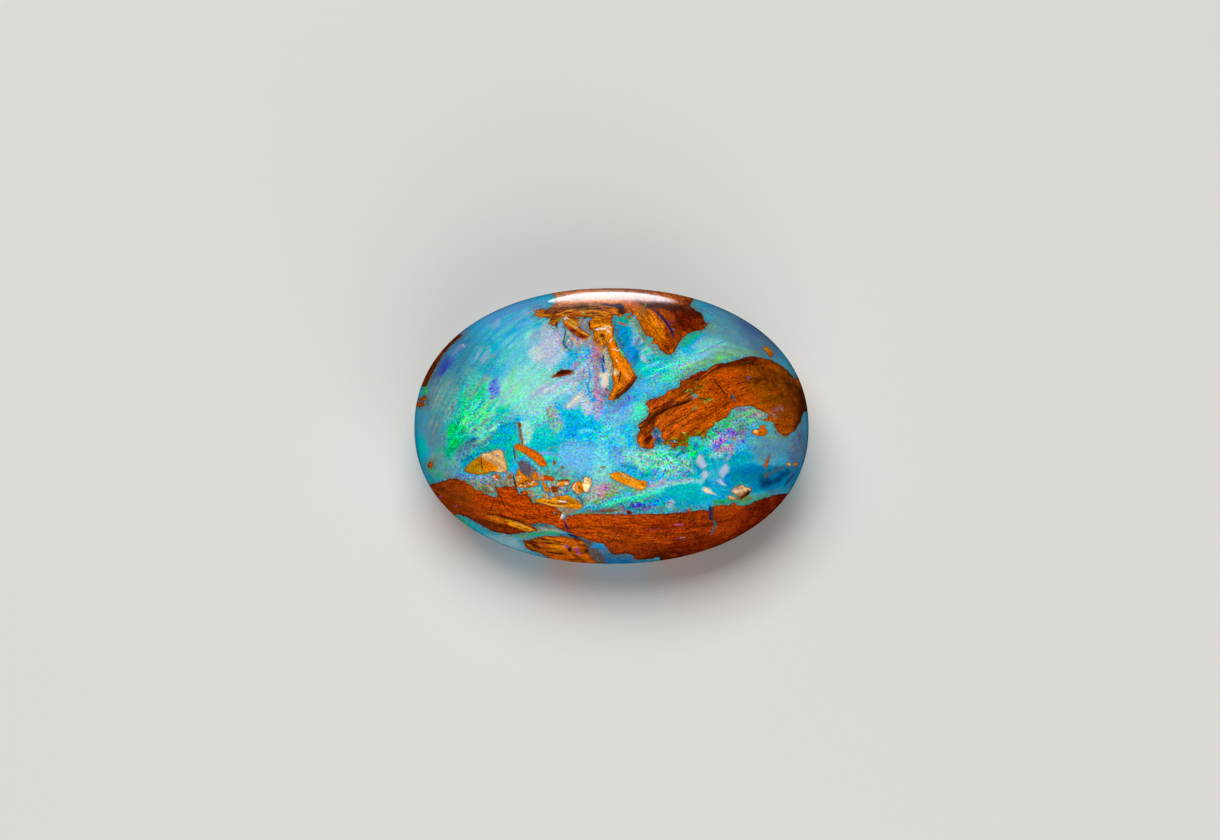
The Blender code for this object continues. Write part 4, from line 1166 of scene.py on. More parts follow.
for row in LATE_FLECKS:
    flecks(opal_colour, *row)
print("patches of late flecks:", len(LATE_FLECKS))

# %% Hairlines
HAIRLINES = [
    # the same columns as WOOD_STROKES
    # between the crown and the dark splinter
    ("peach", 0.1, 0.8, -2.3, 4.9, -2.07, 4.5, -1.75, 4.12),
    ("teal", 0.06, 1, -2.44, 5.1, -2.32, 4.83, -2.4, 4.41, -2.32, 4.08, -2.13, 3.83),
    # veils that hang beside the leg
    ("mauve", 0.1, 0.8, -0.9, 3.9, -0.8, 3.3, -0.73, 2.4, -0.77, 1.8),
    ("wine", 0.09, 0.8, -0.56, 3.45, -0.54, 3.2), ("cobalt", 0.09, 0.9, -0.44, 3.1, -0.4, 2.8),
    ("navy", 0.06, 0.6, 0.12, 5.4, 0.22, 4.9, 0.32, 4.5, 0.6, 4),
    # notch of the right patch
    ("navy", 0.12, 0.6, 2.12, -0.15, 2.3, -0.5, 2.45, -0.9),
]
for paint, wide, thick, *line in HAIRLINES:
    stroke(opal_colour, paint, wide, thick, pairs(line))
print("hairlines:", len(HAIRLINES))

# %% [markdown]
# ## Cracks and veins
#
# The wood split as it dried, and opal filled the splits. They are thinner than the squares of the mesh, so
# each point keeps on which side of the nearest crack it lies and how far off. That changes evenly across a
# crack, and the material can draw a hairline where the value passes zero. Where two cracks meet, the nearer
# one wins. Bright glints, which are painted highlights, and dots are very short cracks.

# %% Laying in the cracks
vein_side = np.full(len(face_x), BEYOND)
vein_width = np.full(len(face_x), -BEYOND)
vein_colour = blank("navy")
NEAR_VEIN = 0.12
TAPERED_ENDS, END_WIDTH = 5, 0.25


def vein(paint, half_width, line):
    """A hairline: its paint, half its width and the points that it runs through."""
    distance, side, along = line_distance(line, closed=False)
    taper = np.minimum(1, TAPERED_ENDS * np.minimum(along, 1 - along) + END_WIDTH)
    width = half_width * taper - np.maximum(0, distance - NEAR_VEIN)
    mine = (width - distance > vein_width - np.abs(vein_side)) & (distance < 3 * NEAR_VEIN)
    vein_side[mine] = side[mine]
    vein_width[mine] = width[mine]
    vein_colour[mine] = light_of(paint)


VEINS = [
    # paint, half its width, then x and y of each point that it runs through
    # top right wood: the navy slit, the green hair beside it and the knot where two woods meet
    ("navy", 0.065, 2.1, 5.95, 2.4, 5.7, 2.7, 5.35, 2.95, 5, 3.1, 4.7, 3.2, 4.45),
    ("moss", 0.02, 1.75, 6.2, 1.62, 5.9, 1.5, 5.75, 1.6, 5.6),
    ("navy", 0.05, -0.5, 6.22, -0.2, 6.14, 0.15, 6.1, 0.5, 6.16),
    ("bark", 0.05, 0.35, 6.15, 0.45, 5.9, 0.55, 5.65), ("navy", 0.06, 0.32, 6.2, 0.5, 6.12, 0.62, 6.02),
    # crown: layers of gold and dark
    ("bark", 0.03, -2.6, 6.05, -2, 5.98, -1.4, 6.08, -0.6, 6.06),
    ("gold", 0.045, -1.28, 5.84, -0.95, 5.86, -0.6, 5.81, -0.3, 5.76, -0.08, 5.7),
    ("gold", 0.035, -0.6, 5.65, -0.4, 5.65, -0.2, 5.6),
    ("gold", 0.035, -2.85, 5.62, -2.6, 5.68, -2.35, 5.82, -2.1, 5.86),
    ("gold", 0.035, -2.55, 5.58, -2.35, 5.66, -2.2, 5.6),
    ("gold", 0.035, -3.55, 5.68, -3.3, 5.6, -3.1, 5.64),
    ("bark", 0.035, -2.95, 5.74, -2.6, 5.78, -2.3, 5.72, -2, 5.78),
    ("bark", 0.035, -1.25, 5.94, -0.8, 5.96, -0.4, 5.9), ("bark", 0.03, -1.32, 5.7, -1, 5.74, -0.8, 5.66),
    ("peach", 0.05, -1.52, 5.79, -1.38, 5.76), ("bark", 0.05, -1.13, 5.32, -1.12, 5.04),
    # ridge under it
    ("straw", 0.04, -2.4, 5.32, -2.1, 5.16, -1.8, 5, -1.5, 4.78, -1.13, 4.56),
    ("orange", 0.03, -2.35, 5.2, -2.05, 5.03, -1.8, 4.9, -1.4, 4.64),
    ("bark", 0.02, -2.3, 5.4, -2.05, 5.25, -1.75, 5.06, -1.5, 4.88),
    ("straw", 0.03, -2.2, 5.46, -1.95, 5.3, -1.66, 5.12), ("white", 0.045, -2.42, 5.44, -2.26, 5.5),
    ("cream", 0.045, -1.84, 5, -1.76, 4.99),
    # leg: white streaks that are painted highlights, golden knot, dark line, lighter line in the sole
    ("white", 0.045, -0.83, 4.92, -0.6, 4.92, -0.28, 4.93),
    ("cream", 0.025, -0.36, 5.08, -0.15, 5.04, 0, 4.98),
    ("white", 0.025, -0.24, 4.84, -0.12, 4.78, -0.03, 4.7),
    ("white", 0.035, -0.08, 4.28, -0.02, 4.34, 0.02, 4.42),
    ("white", 0.022, 0.04, 3.9, 0.2, 3.87, 0.32, 3.83), ("white", 0.035, 0.27, 3.31, 0.3, 3.25),
    ("peach", 0.035, 0.77, 2.59, 0.84, 2.54), ("gold", 0.04, -0.65, 4.7, -0.66, 4.4),
    ("gold", 0.035, -0.45, 4.58, -0.57, 4.36), ("bark", 0.04, -0.55, 4.7, -0.55, 4.52, -0.61, 4.36),
    ("bark", 0.035, -0.38, 4.66, -0.4, 4.4), ("bark", 0.035, 0.46, 2.82, 0.43, 2.5, 0.35, 2.2),
    ("orange", 0.035, 1.04, 2.42, 0.78, 2.12, 0.55, 1.87, 0.3, 1.65),
    ("fern", 0.05, 0.42, 3.93, 0.52, 3.73, 0.64, 3.55), ("leaf", 0.045, 0.17, 4.55, 0.24, 4.32),
    ("orange", 0.05, 0.32, 5.28, 0.5, 5.18, 0.78, 5.12),
    # blue hairline in the haze and blue hairs under the crown
    ("azure", 0.022, 4.4, 3.66, 5, 3.95, 5.5, 4.2, 5.95, 4.42),
    ("azure", 0.05, -1.15, 2.92, -1.08, 2.6, -1.1, 2.35, -1.2, 2.08, -1.15, 1.8, -1.02, 1.6),
    ("lagoon", 0.045, -2.41, 5.04, -2.34, 4.9, -2.34, 4.7, -2.4, 4.4, -2.45, 4.15, -2.3, 3.98, -2.13, 3.84),
    ("teal", 0.04, -2.3, 4.72, -2.1, 4.42, -1.93, 4.08),
    ("cobalt", 0.06, -0.48, 3.05, -0.4, 2.85, -0.42, 2.74),
    ("navy", 0.05, -0.46, 3.6, -0.4, 3.42, -0.36, 3.2), ("magenta", 0.06, -0.56, 3.36, -0.55, 3.26),
    ("teal", 0.035, -0.08, 2.55, -0.13, 2.3, -0.1, 2.05, -0.05, 1.85),
    ("wine", 0.05, -0.3, 1.92, -0.24, 1.8), ("navy", 0.08, -2.76, 5.22, -2.8, 5.05),
    ("navy", 0.06, -1.6, 5.15, -1.54, 5.14), ("leaf", 0.05, -2.62, 5.42, -2.68, 5.3),
    # low wood: the hole and its bright spots
    ("cherry", 0.1, -2.14, -6.2, -2.08, -6.36), ("magenta", 0.07, -2.34, -6.12, -2.28, -6.1),
    ("magenta", 0.08, -1.78, -6.2, -1.73, -6.28), ("magenta", 0.06, -1.72, -6.42, -1.58, -6.5),
    ("azure", 0.05, -1.1, -6.14, -0.75, -6.08, -0.3, -6.2),
    ("navy", 0.05, -2.25, -5.48, -1.95, -5.58, -1.7, -5.66),
    # sparks of blue and violet
    ("grape", 0.08, -6, 2.22, -5.94, 2.18), ("grape", 0.05, -6.2, 1.86, -6.1, 1.9, -6, 1.96),
    ("grape", 0.05, -5.9, 1.66, -5.82, 1.7), ("azure", 0.05, -5.16, 1.98, -5.06, 2.04),
    ("grape", 0.06, 0.86, 1.5, 0.9, 1.38), ("violet", 0.06, 1.76, 1.72, 1.82, 1.68),
    ("magenta", 0.07, -0.5, 0.95, -0.46, 0.86), ("grape", 0.1, 5.52, -0.7, 5.6, -0.76),
    ("grape", 0.08, 6.62, -0.74, 6.7, -0.78), ("violet", 0.08, 3.62, -2.52, 3.78, -2.46),
    ("white", 0.04, 5.74, -0.96, 5.78, -0.96), ("foam", 0.05, 5.98, -1.36, 6.02, -1.36),
    ("fern", 0.07, 4.18, -4.26, 4.28, -4.24), ("grape", 0.06, 1.24, -4.06, 1.36, -4.1),
    ("grape", 0.05, 6.72, 0.3, 6.76, 0.24), ("white", 0.04, -3.28, 4.32, -3.24, 4.3),
    ("milk", 0.05, -7.56, 4.12, -7.5, 4.08),
    # right patch
    ("pine", 0.028, 4.25, 0.9, 4.12, 0.72, 3.9, 0.5, 3.5, 0.25, 3.1, 0.1, 2.7, -0.08),
    ("leaf", 0.05, 4.34, 0.98, 4.26, 0.92, 4.16, 0.85),
    ("pine", 0.03, 4.25, 1.5, 4.6, 1.4, 4.9, 1.33, 5.2, 1.3),
    ("emerald", 0.03, 4.75, 1.36, 5, 1.31, 5.15, 1.33),
    ("bark", 0.05, 2, 0.44, 2.5, 0.68, 3, 0.96, 3.7, 1.14, 4.1, 1.38),
    ("bark", 0.03, 1.98, 0.78, 2.4, 0.98, 2.8, 1.14, 3.3, 1.28),
    ("bark", 0.035, 1.36, 0.04, 1.6, 0.2, 1.9, 0.42), ("bark", 0.03, 1.4, -0.16, 1.68, 0.02),
    ("orange", 0.035, 4.52, 2.42, 4.72, 2.62, 4.96, 2.82, 5.36, 3.06),
    ("orange", 0.04, 2.12, -0.62, 2.02, -0.85, 1.95, -1.02), ("gold", 0.05, 1.48, -0.98, 1.56, -1.02),
    ("violet", 0.06, 2.2, -0.52, 2.3, -0.52), ("peach", 0.05, 2.44, -0.44, 2.48, -0.5),
    ("lime", 0.028, 3.98, 1.84, 4.08, 1.81), ("moss", 0.03, 4.24, 2.2, 4.32, 2.24),
    ("lime", 0.025, 3.8, 1.78, 3.86, 1.8), ("lime", 0.04, 5.25, 0.18, 5.32, 0.12),
    ("bark", 0.025, 3.55, 0.75, 3.9, 0.95), ("bark", 0.03, 4.3, 0.3, 4.65, 0.52),
    ("bark", 0.03, 4.85, 0.5, 5.2, 0.72), ("bark", 0.025, 5.3, 0.55, 5.6, 0.78),
    ("bark", 0.03, 6.3, 2.1, 6.9, 2.3), ("bark", 0.025, 6.5, 1.85, 7, 2.02),
    ("bark", 0.025, 7, 2.35, 7.5, 2.5), ("bark", 0.03, 3, -0.38, 3.2, -0.22),
    ("jade", 0.06, 4.18, 1.62, 4.28, 1.55, 4.4, 1.52), ("azure", 0.04, 4.16, 1.5, 4.24, 1.52),
    ("grape", 0.04, 4.24, 1.42, 4.28, 1.46),
    ("bark", 0.032, 5.2, 2.45, 5.28, 2.2, 5.45, 2.05, 5.6, 1.82, 5.75, 1.66, 5.9, 1.5),
    ("lagoon", 0.035, 6.1, 1.62, 6.2, 1.45, 6.28, 1.3), ("bark", 0.02, 6, 1.6, 6.1, 1.35, 6.25, 1.2),
    ("pine", 0.03, 6.55, 3.12, 6.8, 3.22, 7.1, 3.3), ("bark", 0.02, 2.9, 0.9, 3.6, 1.3, 4.2, 1.75),
    ("bark", 0.02, 3, 0.2, 3.7, 0.55, 4.5, 0.85, 5.3, 1.05),
    # band
    ("white", 0.05, -2.46, -4.47, -2.49, -4.58, -2.5, -4.68), ("amber", 0.04, -2.68, -4.5, -2.68, -4.6),
    ("navy", 0.05, -2.42, -4.82, -2.3, -5.05, -2.2, -5.3),
    ("lagoon", 0.05, -2.25, -4.58, -2.32, -4.66, -2.42, -4.8),
    ("navy", 0.08, 4.95, -4.05, 5.05, -4.3, 5, -4.6, 5.1, -4.8),
    ("lagoon", 0.05, 5.1, -4.75, 5.3, -4.95, 5.2, -5.2, 5.05, -5.5),
    ("olive", 0.07, 5.17, -4.05, 5.2, -4.3, 5.17, -4.6, 5.25, -4.85),
    ("bark", 0.02, -5.75, -3.3, -5.6, -3.7, -5.4, -4.1, -5.2, -4.35),
    ("bark", 0.015, -6, -3.8, -6.1, -4.2, -6.2, -4.45),
    ("bark", 0.02, 0.45, -5.1, 0.35, -5.4, 0.1, -5.7, -0.1, -5.95),
    ("bark", 0.015, -3.9, -4.05, -3.7, -4.3, -3.6, -4.55),
    ("moss", 0.03, -2.2, -4.42, -1.4, -4.42, -0.6, -4.42),
    ("bark", 0.022, -6.33, -4.44, -5.76, -4.52, -5.2, -4.69, -4.6, -4.88, -4.25, -4.98),
    ("straw", 0.03, -5, -4.9, -4.7, -5, -4.3, -5.14, -3.95, -5.26),
    ("peach", 0.03, -3.72, -5.34, -3.64, -5.36),
    ("bark", 0.03, -3.66, -5.7, -3.1, -5.78, -2.7, -5.88, -2.4, -5.94),
    ("peach", 0.03, -3.62, -5.99, -3.56, -6.02), ("bark", 0.025, -3.5, -6.3, -3, -6.44, -2.4, -6.52),
    ("bark", 0.035, -4.97, -1.1, -4.94, -1.45, -4.88, -1.75),
    # beside the chips at the lower left
    ("bark", 0.04, -5, -2.45, -4.92, -2.8, -4.83, -3.2),
    ("fern", 0.07, -4.76, -1.25, -4.62, -1.42, -4.48, -1.54),
    ("teal", 0.045, -3.67, -3, -3.52, -3.15, -3.4, -3.38),
    # the white and cream dots on the golden splinters here are painted glints
    ("white", 0.03, -1.82, -2.92, -1.92, -3.05, -1.95, -3.15, -1.86, -3.27),
    ("cream", 0.02, -1.8, -3.3, -1.65, -3.45), ("white", 0.035, -2.78, -2.96, -2.7, -2.92),
    ("white", 0.035, -2.34, -2.96, -2.24, -2.92), ("straw", 0.025, -2.65, -2.9, -2.5, -2.87, -2.38, -2.88),
    ("cherry", 0.05, -1.66, -3.05, -1.6, -3.15), ("umber", 0.04, -2.75, -2.8, -2.5, -2.74, -2.15, -2.76),
    ("straw", 0.03, -3.08, -3.7, -2.9, -3.74, -2.72, -3.78), ("white", 0.04, -2.64, -3.79, -2.52, -3.81),
    ("white", 0.035, -2.43, -3.81, -2.35, -3.81),
    ("straw", 0.025, -3.5, -3.88, -3.2, -3.98, -2.92, -4.05, -2.5, -4.08, -2.26, -4.08),
    ("umber", 0.022, -3.64, -3.78, -3.1, -3.89, -2.5, -3.95, -2.1, -3.96),
    ("lagoon", 0.035, -3.2, -3.48, -3.15, -3.62),
    ("lagoon", 0.035, -1.75, -3.58, -1.5, -3.75, -1.42, -4.05),
    ("white", 0.035, -6.04, -2.58, -5.95, -2.55), ("white", 0.035, -5.86, -2.7, -5.79, -2.75),
    ("bark", 0.035, -5.8, -2.6, -5.74, -2.68), ("bark", 0.03, -6.6, -1.62, -6.59, -1.9, -6.57, -2.22),
    ("magenta", 0.05, -5.83, -1.49, -5.76, -1.5), ("lime", 0.055, -6.7, -2.26, -6.64, -2.28),
    ("foam", 0.03, -4.72, -1.28, -4.2, -1.68, -3.8, -2.07, -3.45, -2.45),
    ("teal", 0.03, -4.6, -1.35, -4.15, -1.78, -3.75, -2.2, -3.5, -2.55),
]
for paint, half_width, *line in VEINS:
    vein(paint, half_width, pairs(line))
print("cracks and veins:", len(VEINS))

# %% Dots
DOTS = {
    "magenta": [(3.1, 5.3), (-8.7, -3.59), (-7.92, -4.09)],
    "lilac": [(3.1, 4.94), (3.64, -5.66)],
    "violet": [(0.2, -4.6), (2, -5.24), (2.35, -5.2), (3.5, -5.7), (6.98, 2.48)],
    "bark": [(2.5, 4.94), (2.6, 4), (-4.6, -2.74), (-4.45, -2.88), (-4.32, -2.76), (-4.56, -2.96),
        (7.57, -0.33)],
    # the cream dots on the sparkling triangle are painted glints
    "cream": [(2.3, 5.17), (-4.65, -2.57), (-4.72, -2.76), (-4.61, -3.03), (-4.39, -3.03), (-4.2, -2.94),
        (-4.08, -2.98), (-3.95, -2.83), (-3.57, -2.62), (-4.84, -2.62)],
    "lime": [(1.93, 4.4), (4.72, 1.17), (3.68, -0.35), (3.3, -0.8), (4.1, -0.72), (4.6, -0.55)],
}
DOT_RADIUS, DOT_REACH = 0.055, 0.02
for paint, dots in DOTS.items():
    for x, y in dots:
        vein(paint, DOT_RADIUS, [(x - DOT_REACH, y), (x + DOT_REACH, y)])
print("dots:", sum(len(dots) for dots in DOTS.values()))

# %% [markdown]
# ## The side that lies down
#
# Nobody sees the underside in use, but the stone can be turned over, so it is finished as well. Just below
# the rim the sheet is squeezed so much that an outline would come out as a straight wall, so the edge of the
# wood drifts there with random values in the solid. Further down, wood and opal take turns in slanting
# layers, as they would in a nodule. The layers come from the solid, and they fade in past the outline, so
# nothing stops at the rim.

# %% The edge of the wood drifts below the rim
RIM_SWING = 2.6
OVER_RIM_AT = 0.22
EVEN_DRIFT = 0.78
over_rim = np.clip(-facing / OVER_RIM_AT, 0, 1)
rim_drift = mottle(solid_x + 3, solid_y, solid_z, 1.9)
rim_drift += 0.5 * mottle(solid_x, solid_y + 9, solid_z, 0.8)
wood_depth += over_rim * RIM_SWING * (rim_drift - EVEN_DRIFT)
fray = np.maximum(fray, over_rim)
print(f"past the rim: {np.mean(over_rim > 0):.0%} of the points")

# %% The opal's colour on the hidden side
HIDDEN_FROM, HIDDEN_FULL = 1.04, 1.35
hidden = np.clip((outwardness - HIDDEN_FROM) / (HIDDEN_FULL - HIDDEN_FROM), 0, 1)
hidden = hidden * hidden * (3 - 2 * hidden)
HIDDEN_TINTS = [
    # paint where the swell is high, paint where it is low, size of a swell
    ("sky", "aqua", 2.6), ("cobalt", "mint", 1.7), ("haze", "iris", 1.2), ("teal", "foam", 0.8),
]
THICKEST = 0.7
hidden_colour = blank("slate")
for step, (first, second, size) in enumerate(HIDDEN_TINTS):
    swell = mottle(solid_x + 40 * step, solid_y, solid_z, size)
    lay(hidden_colour, first, np.clip((swell - 0.55) * 5, 0, THICKEST))
    lay(hidden_colour, second, np.clip((0.40 - swell) * 6, 0, THICKEST))
opal_colour += hidden[:, None] * (hidden_colour - opal_colour)
print("hidden tints:", len(HIDDEN_TINTS))

# %% Layers of wood on the hidden side
LAYER_SPACING = 4.2
LAYER_SLANT = np.array((0.2, 0.75, 0.9))
LAYER_WAVE, LAYER_SWING = 3.2, 1.3
layer_place = solid_y * LAYER_SLANT[1] + solid_z * LAYER_SLANT[2] + solid_x * LAYER_SLANT[0]
layer_place = layer_place + LAYER_WAVE * (mottle(solid_x, solid_y, solid_z, 3.1) - 0.5)
layer_height = np.cos(layer_place / LAYER_SPACING * 2 * math.pi)
layer_height = layer_height + LAYER_SWING * (mottle(solid_x, solid_z, solid_y, 1.3) - 0.5)
hidden_wood = (layer_height + 0.15) * 0.6
sunk = wood_depth + hidden * (hidden_wood - np.clip(wood_depth, -2, 2))
wood_depth = np.where(hidden > 0, sunk, wood_depth)
grain_strength = np.maximum(grain_strength, hidden)
fray = np.maximum(fray, hidden)
print("mm from layer to layer:", LAYER_SPACING)

# %% The colour of that wood
HIDDEN_WOOD_PAINTS = (("umber", 0.0), ("rust", 0.35), ("orange", 0.55), ("olive", 0.75))
HIDDEN_WOOD_THICK = 0.85
fresh = (hidden > 0.35) & (wood_depth > -0.7)
wood_tone = mottle(solid_x + 5, solid_y * 1.5, solid_z, 1.9)
for paint, low_tone in HIDDEN_WOOD_PAINTS:
    chosen = fresh & (wood_tone > low_tone)
    wood_colour[chosen] += HIDDEN_WOOD_THICK * hidden[chosen, None] * (light_of(paint) - wood_colour[chosen])
print(f"hidden side: {np.mean(hidden > 0.5):.0%} of the points")

# %% Everything is kept in the mesh
def keep(name, values, kind="FLOAT"):
    """Stores one value, vector or colour for each point."""
    layer = stone_mesh.attributes.new(name, kind, "POINT")
    field = {"FLOAT": "value", "FLOAT_VECTOR": "vector", "FLOAT_COLOR": "color"}[kind]
    if kind == "FLOAT_COLOR":
        values = np.concatenate((values, np.ones((len(values), 1))), axis=1)
    layer.data.foreach_set(field, np.ascontiguousarray(values, np.float32).ravel())


keep("opal_colour", opal_colour, "FLOAT_COLOR")
keep("wood_colour", wood_colour, "FLOAT_COLOR")
keep("vein_colour", vein_colour, "FLOAT_COLOR")
keep("grain", grain, "FLOAT_VECTOR")
for name, values in (
    ("wood_depth", wood_depth), ("vein_side", vein_side), ("vein_width", vein_width),
    ("grain_strength", grain_strength), ("painted_glint", painted_glint), ("lively", lively), ("fray", fray),
):
    keep(name, values)
print("kept:", [layer.name for layer in stone_mesh.attributes if not layer.name.startswith(".")])

# %% [markdown]
# ## The material
#
# Now a node tree reads what the mesh knows. It has three steps: the opal, the wood on top of it and the
# cracks on top of both. Each mask is a depth with fine noise added, cut off sharply at zero, so an outline
# drawn with a dozen corners comes out as ragged as broken wood. Only colour and a breath of roughness change
# from place to place. The rest of the polish is the same all over, so it is set on the shader itself.

# %% Helpers for the node tree
opal_wood = bpy.data.materials.new("polished_opal")
opal_wood.use_nodes = True
nodes, links = opal_wood.node_tree.nodes, opal_wood.node_tree.links
surface = nodes["Principled BSDF"]


def node(kind, **settings):
    """A new node with its settings."""
    made = nodes.new("ShaderNode" + kind)
    for name, value in settings.items():
        setattr(made, name, value)
    return made


def feed(socket, value):
    """Joins another node's output to a socket, or sets the socket to a plain value."""
    if isinstance(value, bpy.types.NodeSocket):
        links.new(value, socket)
    else:
        socket.default_value = value


def stored(name, output="Fac"):
    """A value that the mesh keeps."""
    return node("Attribute", attribute_name=name).outputs[output]


def calc(operation, *values, kind="Math"):
    """One step of arithmetic."""
    made = node(kind, operation=operation)
    for socket, value in zip(made.inputs, values):
        feed(socket, value)
    return made.outputs[0]


def times(first, second):
    """The product of two values."""
    return calc("MULTIPLY", first, second)


def span(value, start, end, low=0.0, high=1.0):
    """Leads a value smoothly from low to high while it goes from start to end."""
    made = node("MapRange", interpolation_type="SMOOTHSTEP")
    for socket, given in zip(made.inputs, (value, start, end, low, high)):
        feed(socket, given)
    return made.outputs[0]


def mix(amount, below, above, blend="MIX"):
    """Lays one colour over another."""
    made = node("Mix", data_type="RGBA", blend_type=blend)
    feed(made.inputs[0], amount)
    feed(made.inputs[6], below)
    feed(made.inputs[7], above)
    return made.outputs[2]


def vector_calc(operation, *values):
    """One step of arithmetic on all three parts of a colour."""
    return calc(operation, *values, kind="VectorMath")


def paint_of(name):
    """A named paint as a colour with its alpha."""
    return (*light_of(name), 1.0)


def stretch(vector, x, y, z, shift=0.0):
    """Scales a place in each direction to the size that a pattern wants."""
    made = node("Mapping")
    feed(made.inputs["Vector"], vector)
    made.inputs["Location"].default_value = (shift, shift, shift)
    made.inputs["Scale"].default_value = (x, y, z)
    return made.outputs[0]


def noise(vector, detail=2.0, roughness=0.55, distortion=0.0, output=0):
    """Smooth noise at one cell for each unit of the vector."""
    made = node("TexNoise")
    feed(made.inputs["Vector"], vector)
    made.inputs["Scale"].default_value = 1.0
    made.inputs["Detail"].default_value = detail
    made.inputs["Roughness"].default_value = roughness
    made.inputs["Distortion"].default_value = distortion
    return made.outputs[output]


place = node("TexCoord").outputs["Object"]


def in_solid(per_mm, shift=0.0):
    """The place in the solid, scaled so that a pattern has so many cells to the millimetre."""
    return stretch(place, per_mm / MM, per_mm / MM, per_mm / MM, shift)


# %% [markdown]
# ### Opal
#
# The painted tint is only the start. A fine coloured noise breaks it into grains a tenth of a millimetre
# wide, each lighter, darker or of another hue. Where the stone sparkles, small cells get a tint of their
# own, as in the real mosaic of silica. Both grow with how lively the place is, so haze stays calm.

# %% The opal's colour
GRAIN_CONTRAST = 10.0
DARKEST_GRAIN = 0.08
MIDDLE_GREY = (0.5, 0.5, 0.5, 1.0)
lively_here = stored("lively")
grain_gain = span(lively_here, 0.05, 1.2, 0.06, 0.52)
colour_grain = noise(in_solid(10.0, 3.0), detail=1.0, roughness=0.6, output=1)
grain_tint = mix(grain_gain, MIDDLE_GREY, colour_grain)
grain_tint = vector_calc("MULTIPLY_ADD", grain_tint, (GRAIN_CONTRAST,) * 3, (1 - GRAIN_CONTRAST / 2,) * 3)
grain_tint = vector_calc("MAXIMUM", grain_tint, (DARKEST_GRAIN,) * 3)
opal = mix(1.0, stored("opal_colour", "Color"), grain_tint, blend="MULTIPLY")
print("nodes for the painted opal:", len(nodes))

# %% The sparkle in small cells
OPAL_SATURATION = 1.08
OPAL_GLOW = 1.17
cells = node("TexVoronoi", feature="F1")
feed(cells.inputs["Vector"], in_solid(6.5))
cells.inputs["Scale"].default_value = 1.0
cell_pick = node("SeparateColor")
feed(cell_pick.inputs[0], cells.outputs["Color"])
FLASHES = [
    (0.00, "teal"), (0.16, "aqua"), (0.34, "mint"), (0.50, "jade"), (0.60, "fern"),
    (0.70, "ice"), (0.80, "lilac"), (0.89, "violet"), (0.95, "azure"),
]
flash_ramp = node("ValToRGB")
flash_ramp.color_ramp.interpolation = "CONSTANT"
for at, paint in FLASHES[2:]:
    flash_ramp.color_ramp.elements.new(at)
for element, (at, paint) in zip(flash_ramp.color_ramp.elements, FLASHES):
    element.position = at
    element.color = paint_of(paint)
feed(flash_ramp.inputs[0], cell_pick.outputs[0])
flash_core = span(cells.outputs["Distance"], 0.60, 0.35)
flash_amount = times(flash_core, span(cell_pick.outputs[1], 0.45, 0.85, 0.0, 0.7))
flash_amount = times(flash_amount, span(lively_here, 0.45, 1.3))
opal = mix(flash_amount, opal, flash_ramp.outputs[0])
glow = node("HueSaturation")
feed(glow.inputs["Color"], opal)
glow.inputs["Saturation"].default_value = OPAL_SATURATION
glow.inputs["Value"].default_value = OPAL_GLOW
opal = glow.outputs[0]
print("tints of the sparkle:", len(FLASHES))

# %% [markdown]
# ### Wood
#
# The grain is noise pulled long: quick changes across the fibres, slow ones along them. One such noise
# darkens the growth layers, a finer one draws hair-thin vessels and a third leaves short dark dashes. An even
# speckle keeps it from looking combed. Splinters that hold more opal get painted highlights in gold and cream
# along the fibres, with painted shade between them.

# %% The wood's colour
fibres = stored("grain", "Vector")
layers = noise(stretch(fibres, 0.55, 4.2, 0.8), detail=4.0, roughness=0.62, distortion=0.35)
vessels = noise(stretch(fibres, 1.3, 13.0, 2.0, 5.0), detail=2.0, roughness=0.6)
dashes = noise(stretch(fibres, 3.2, 15.0, 5.0, 9.0), detail=3.0, roughness=0.7)
blush = noise(in_solid(1.3, 6.0), detail=2.0)
speckle = noise(in_solid(11.0, 2.0), detail=2.0, roughness=0.7)
fibre_amount = calc("MINIMUM", stored("grain_strength"), 1.0)
wood = stored("wood_colour", "Color")
wood = mix(times(span(blush, 0.52, 0.68), 0.30), wood, paint_of("rust"))
DARK_FIBRES = (
    # which noise, where it starts to darken, where it is darkest, how dark
    (dashes, 0.50, 0.40, 0.80), (layers, 0.47, 0.33, 0.45), (vessels, 0.43, 0.30, 0.75),
)
for pattern, start, full, dark in DARK_FIBRES:
    amount = times(span(pattern, start, full), times(fibre_amount, dark))
    wood = mix(amount, wood, paint_of("bark"))
print("patterns of dark fibres:", len(DARK_FIBRES))

# %% Light and dark in the wood
WOOD_SATURATION = 1.12
wood_light = node("HueSaturation")
feed(wood_light.inputs["Color"], wood)
wood_light.inputs["Saturation"].default_value = WOOD_SATURATION
layer_light = span(layers, 0.35, 0.75, 1.0, 1.75)
speckle_light = span(speckle, 0.3, 0.7, -0.35, 0.35)
feed(wood_light.inputs["Value"], calc("ADD", layer_light, speckle_light))
feed(wood_light.inputs["Hue"], span(speckle, 0.25, 0.75, 0.49, 0.515))
wood = wood_light.outputs[0]
print("nodes up to the fibres:", len(nodes))

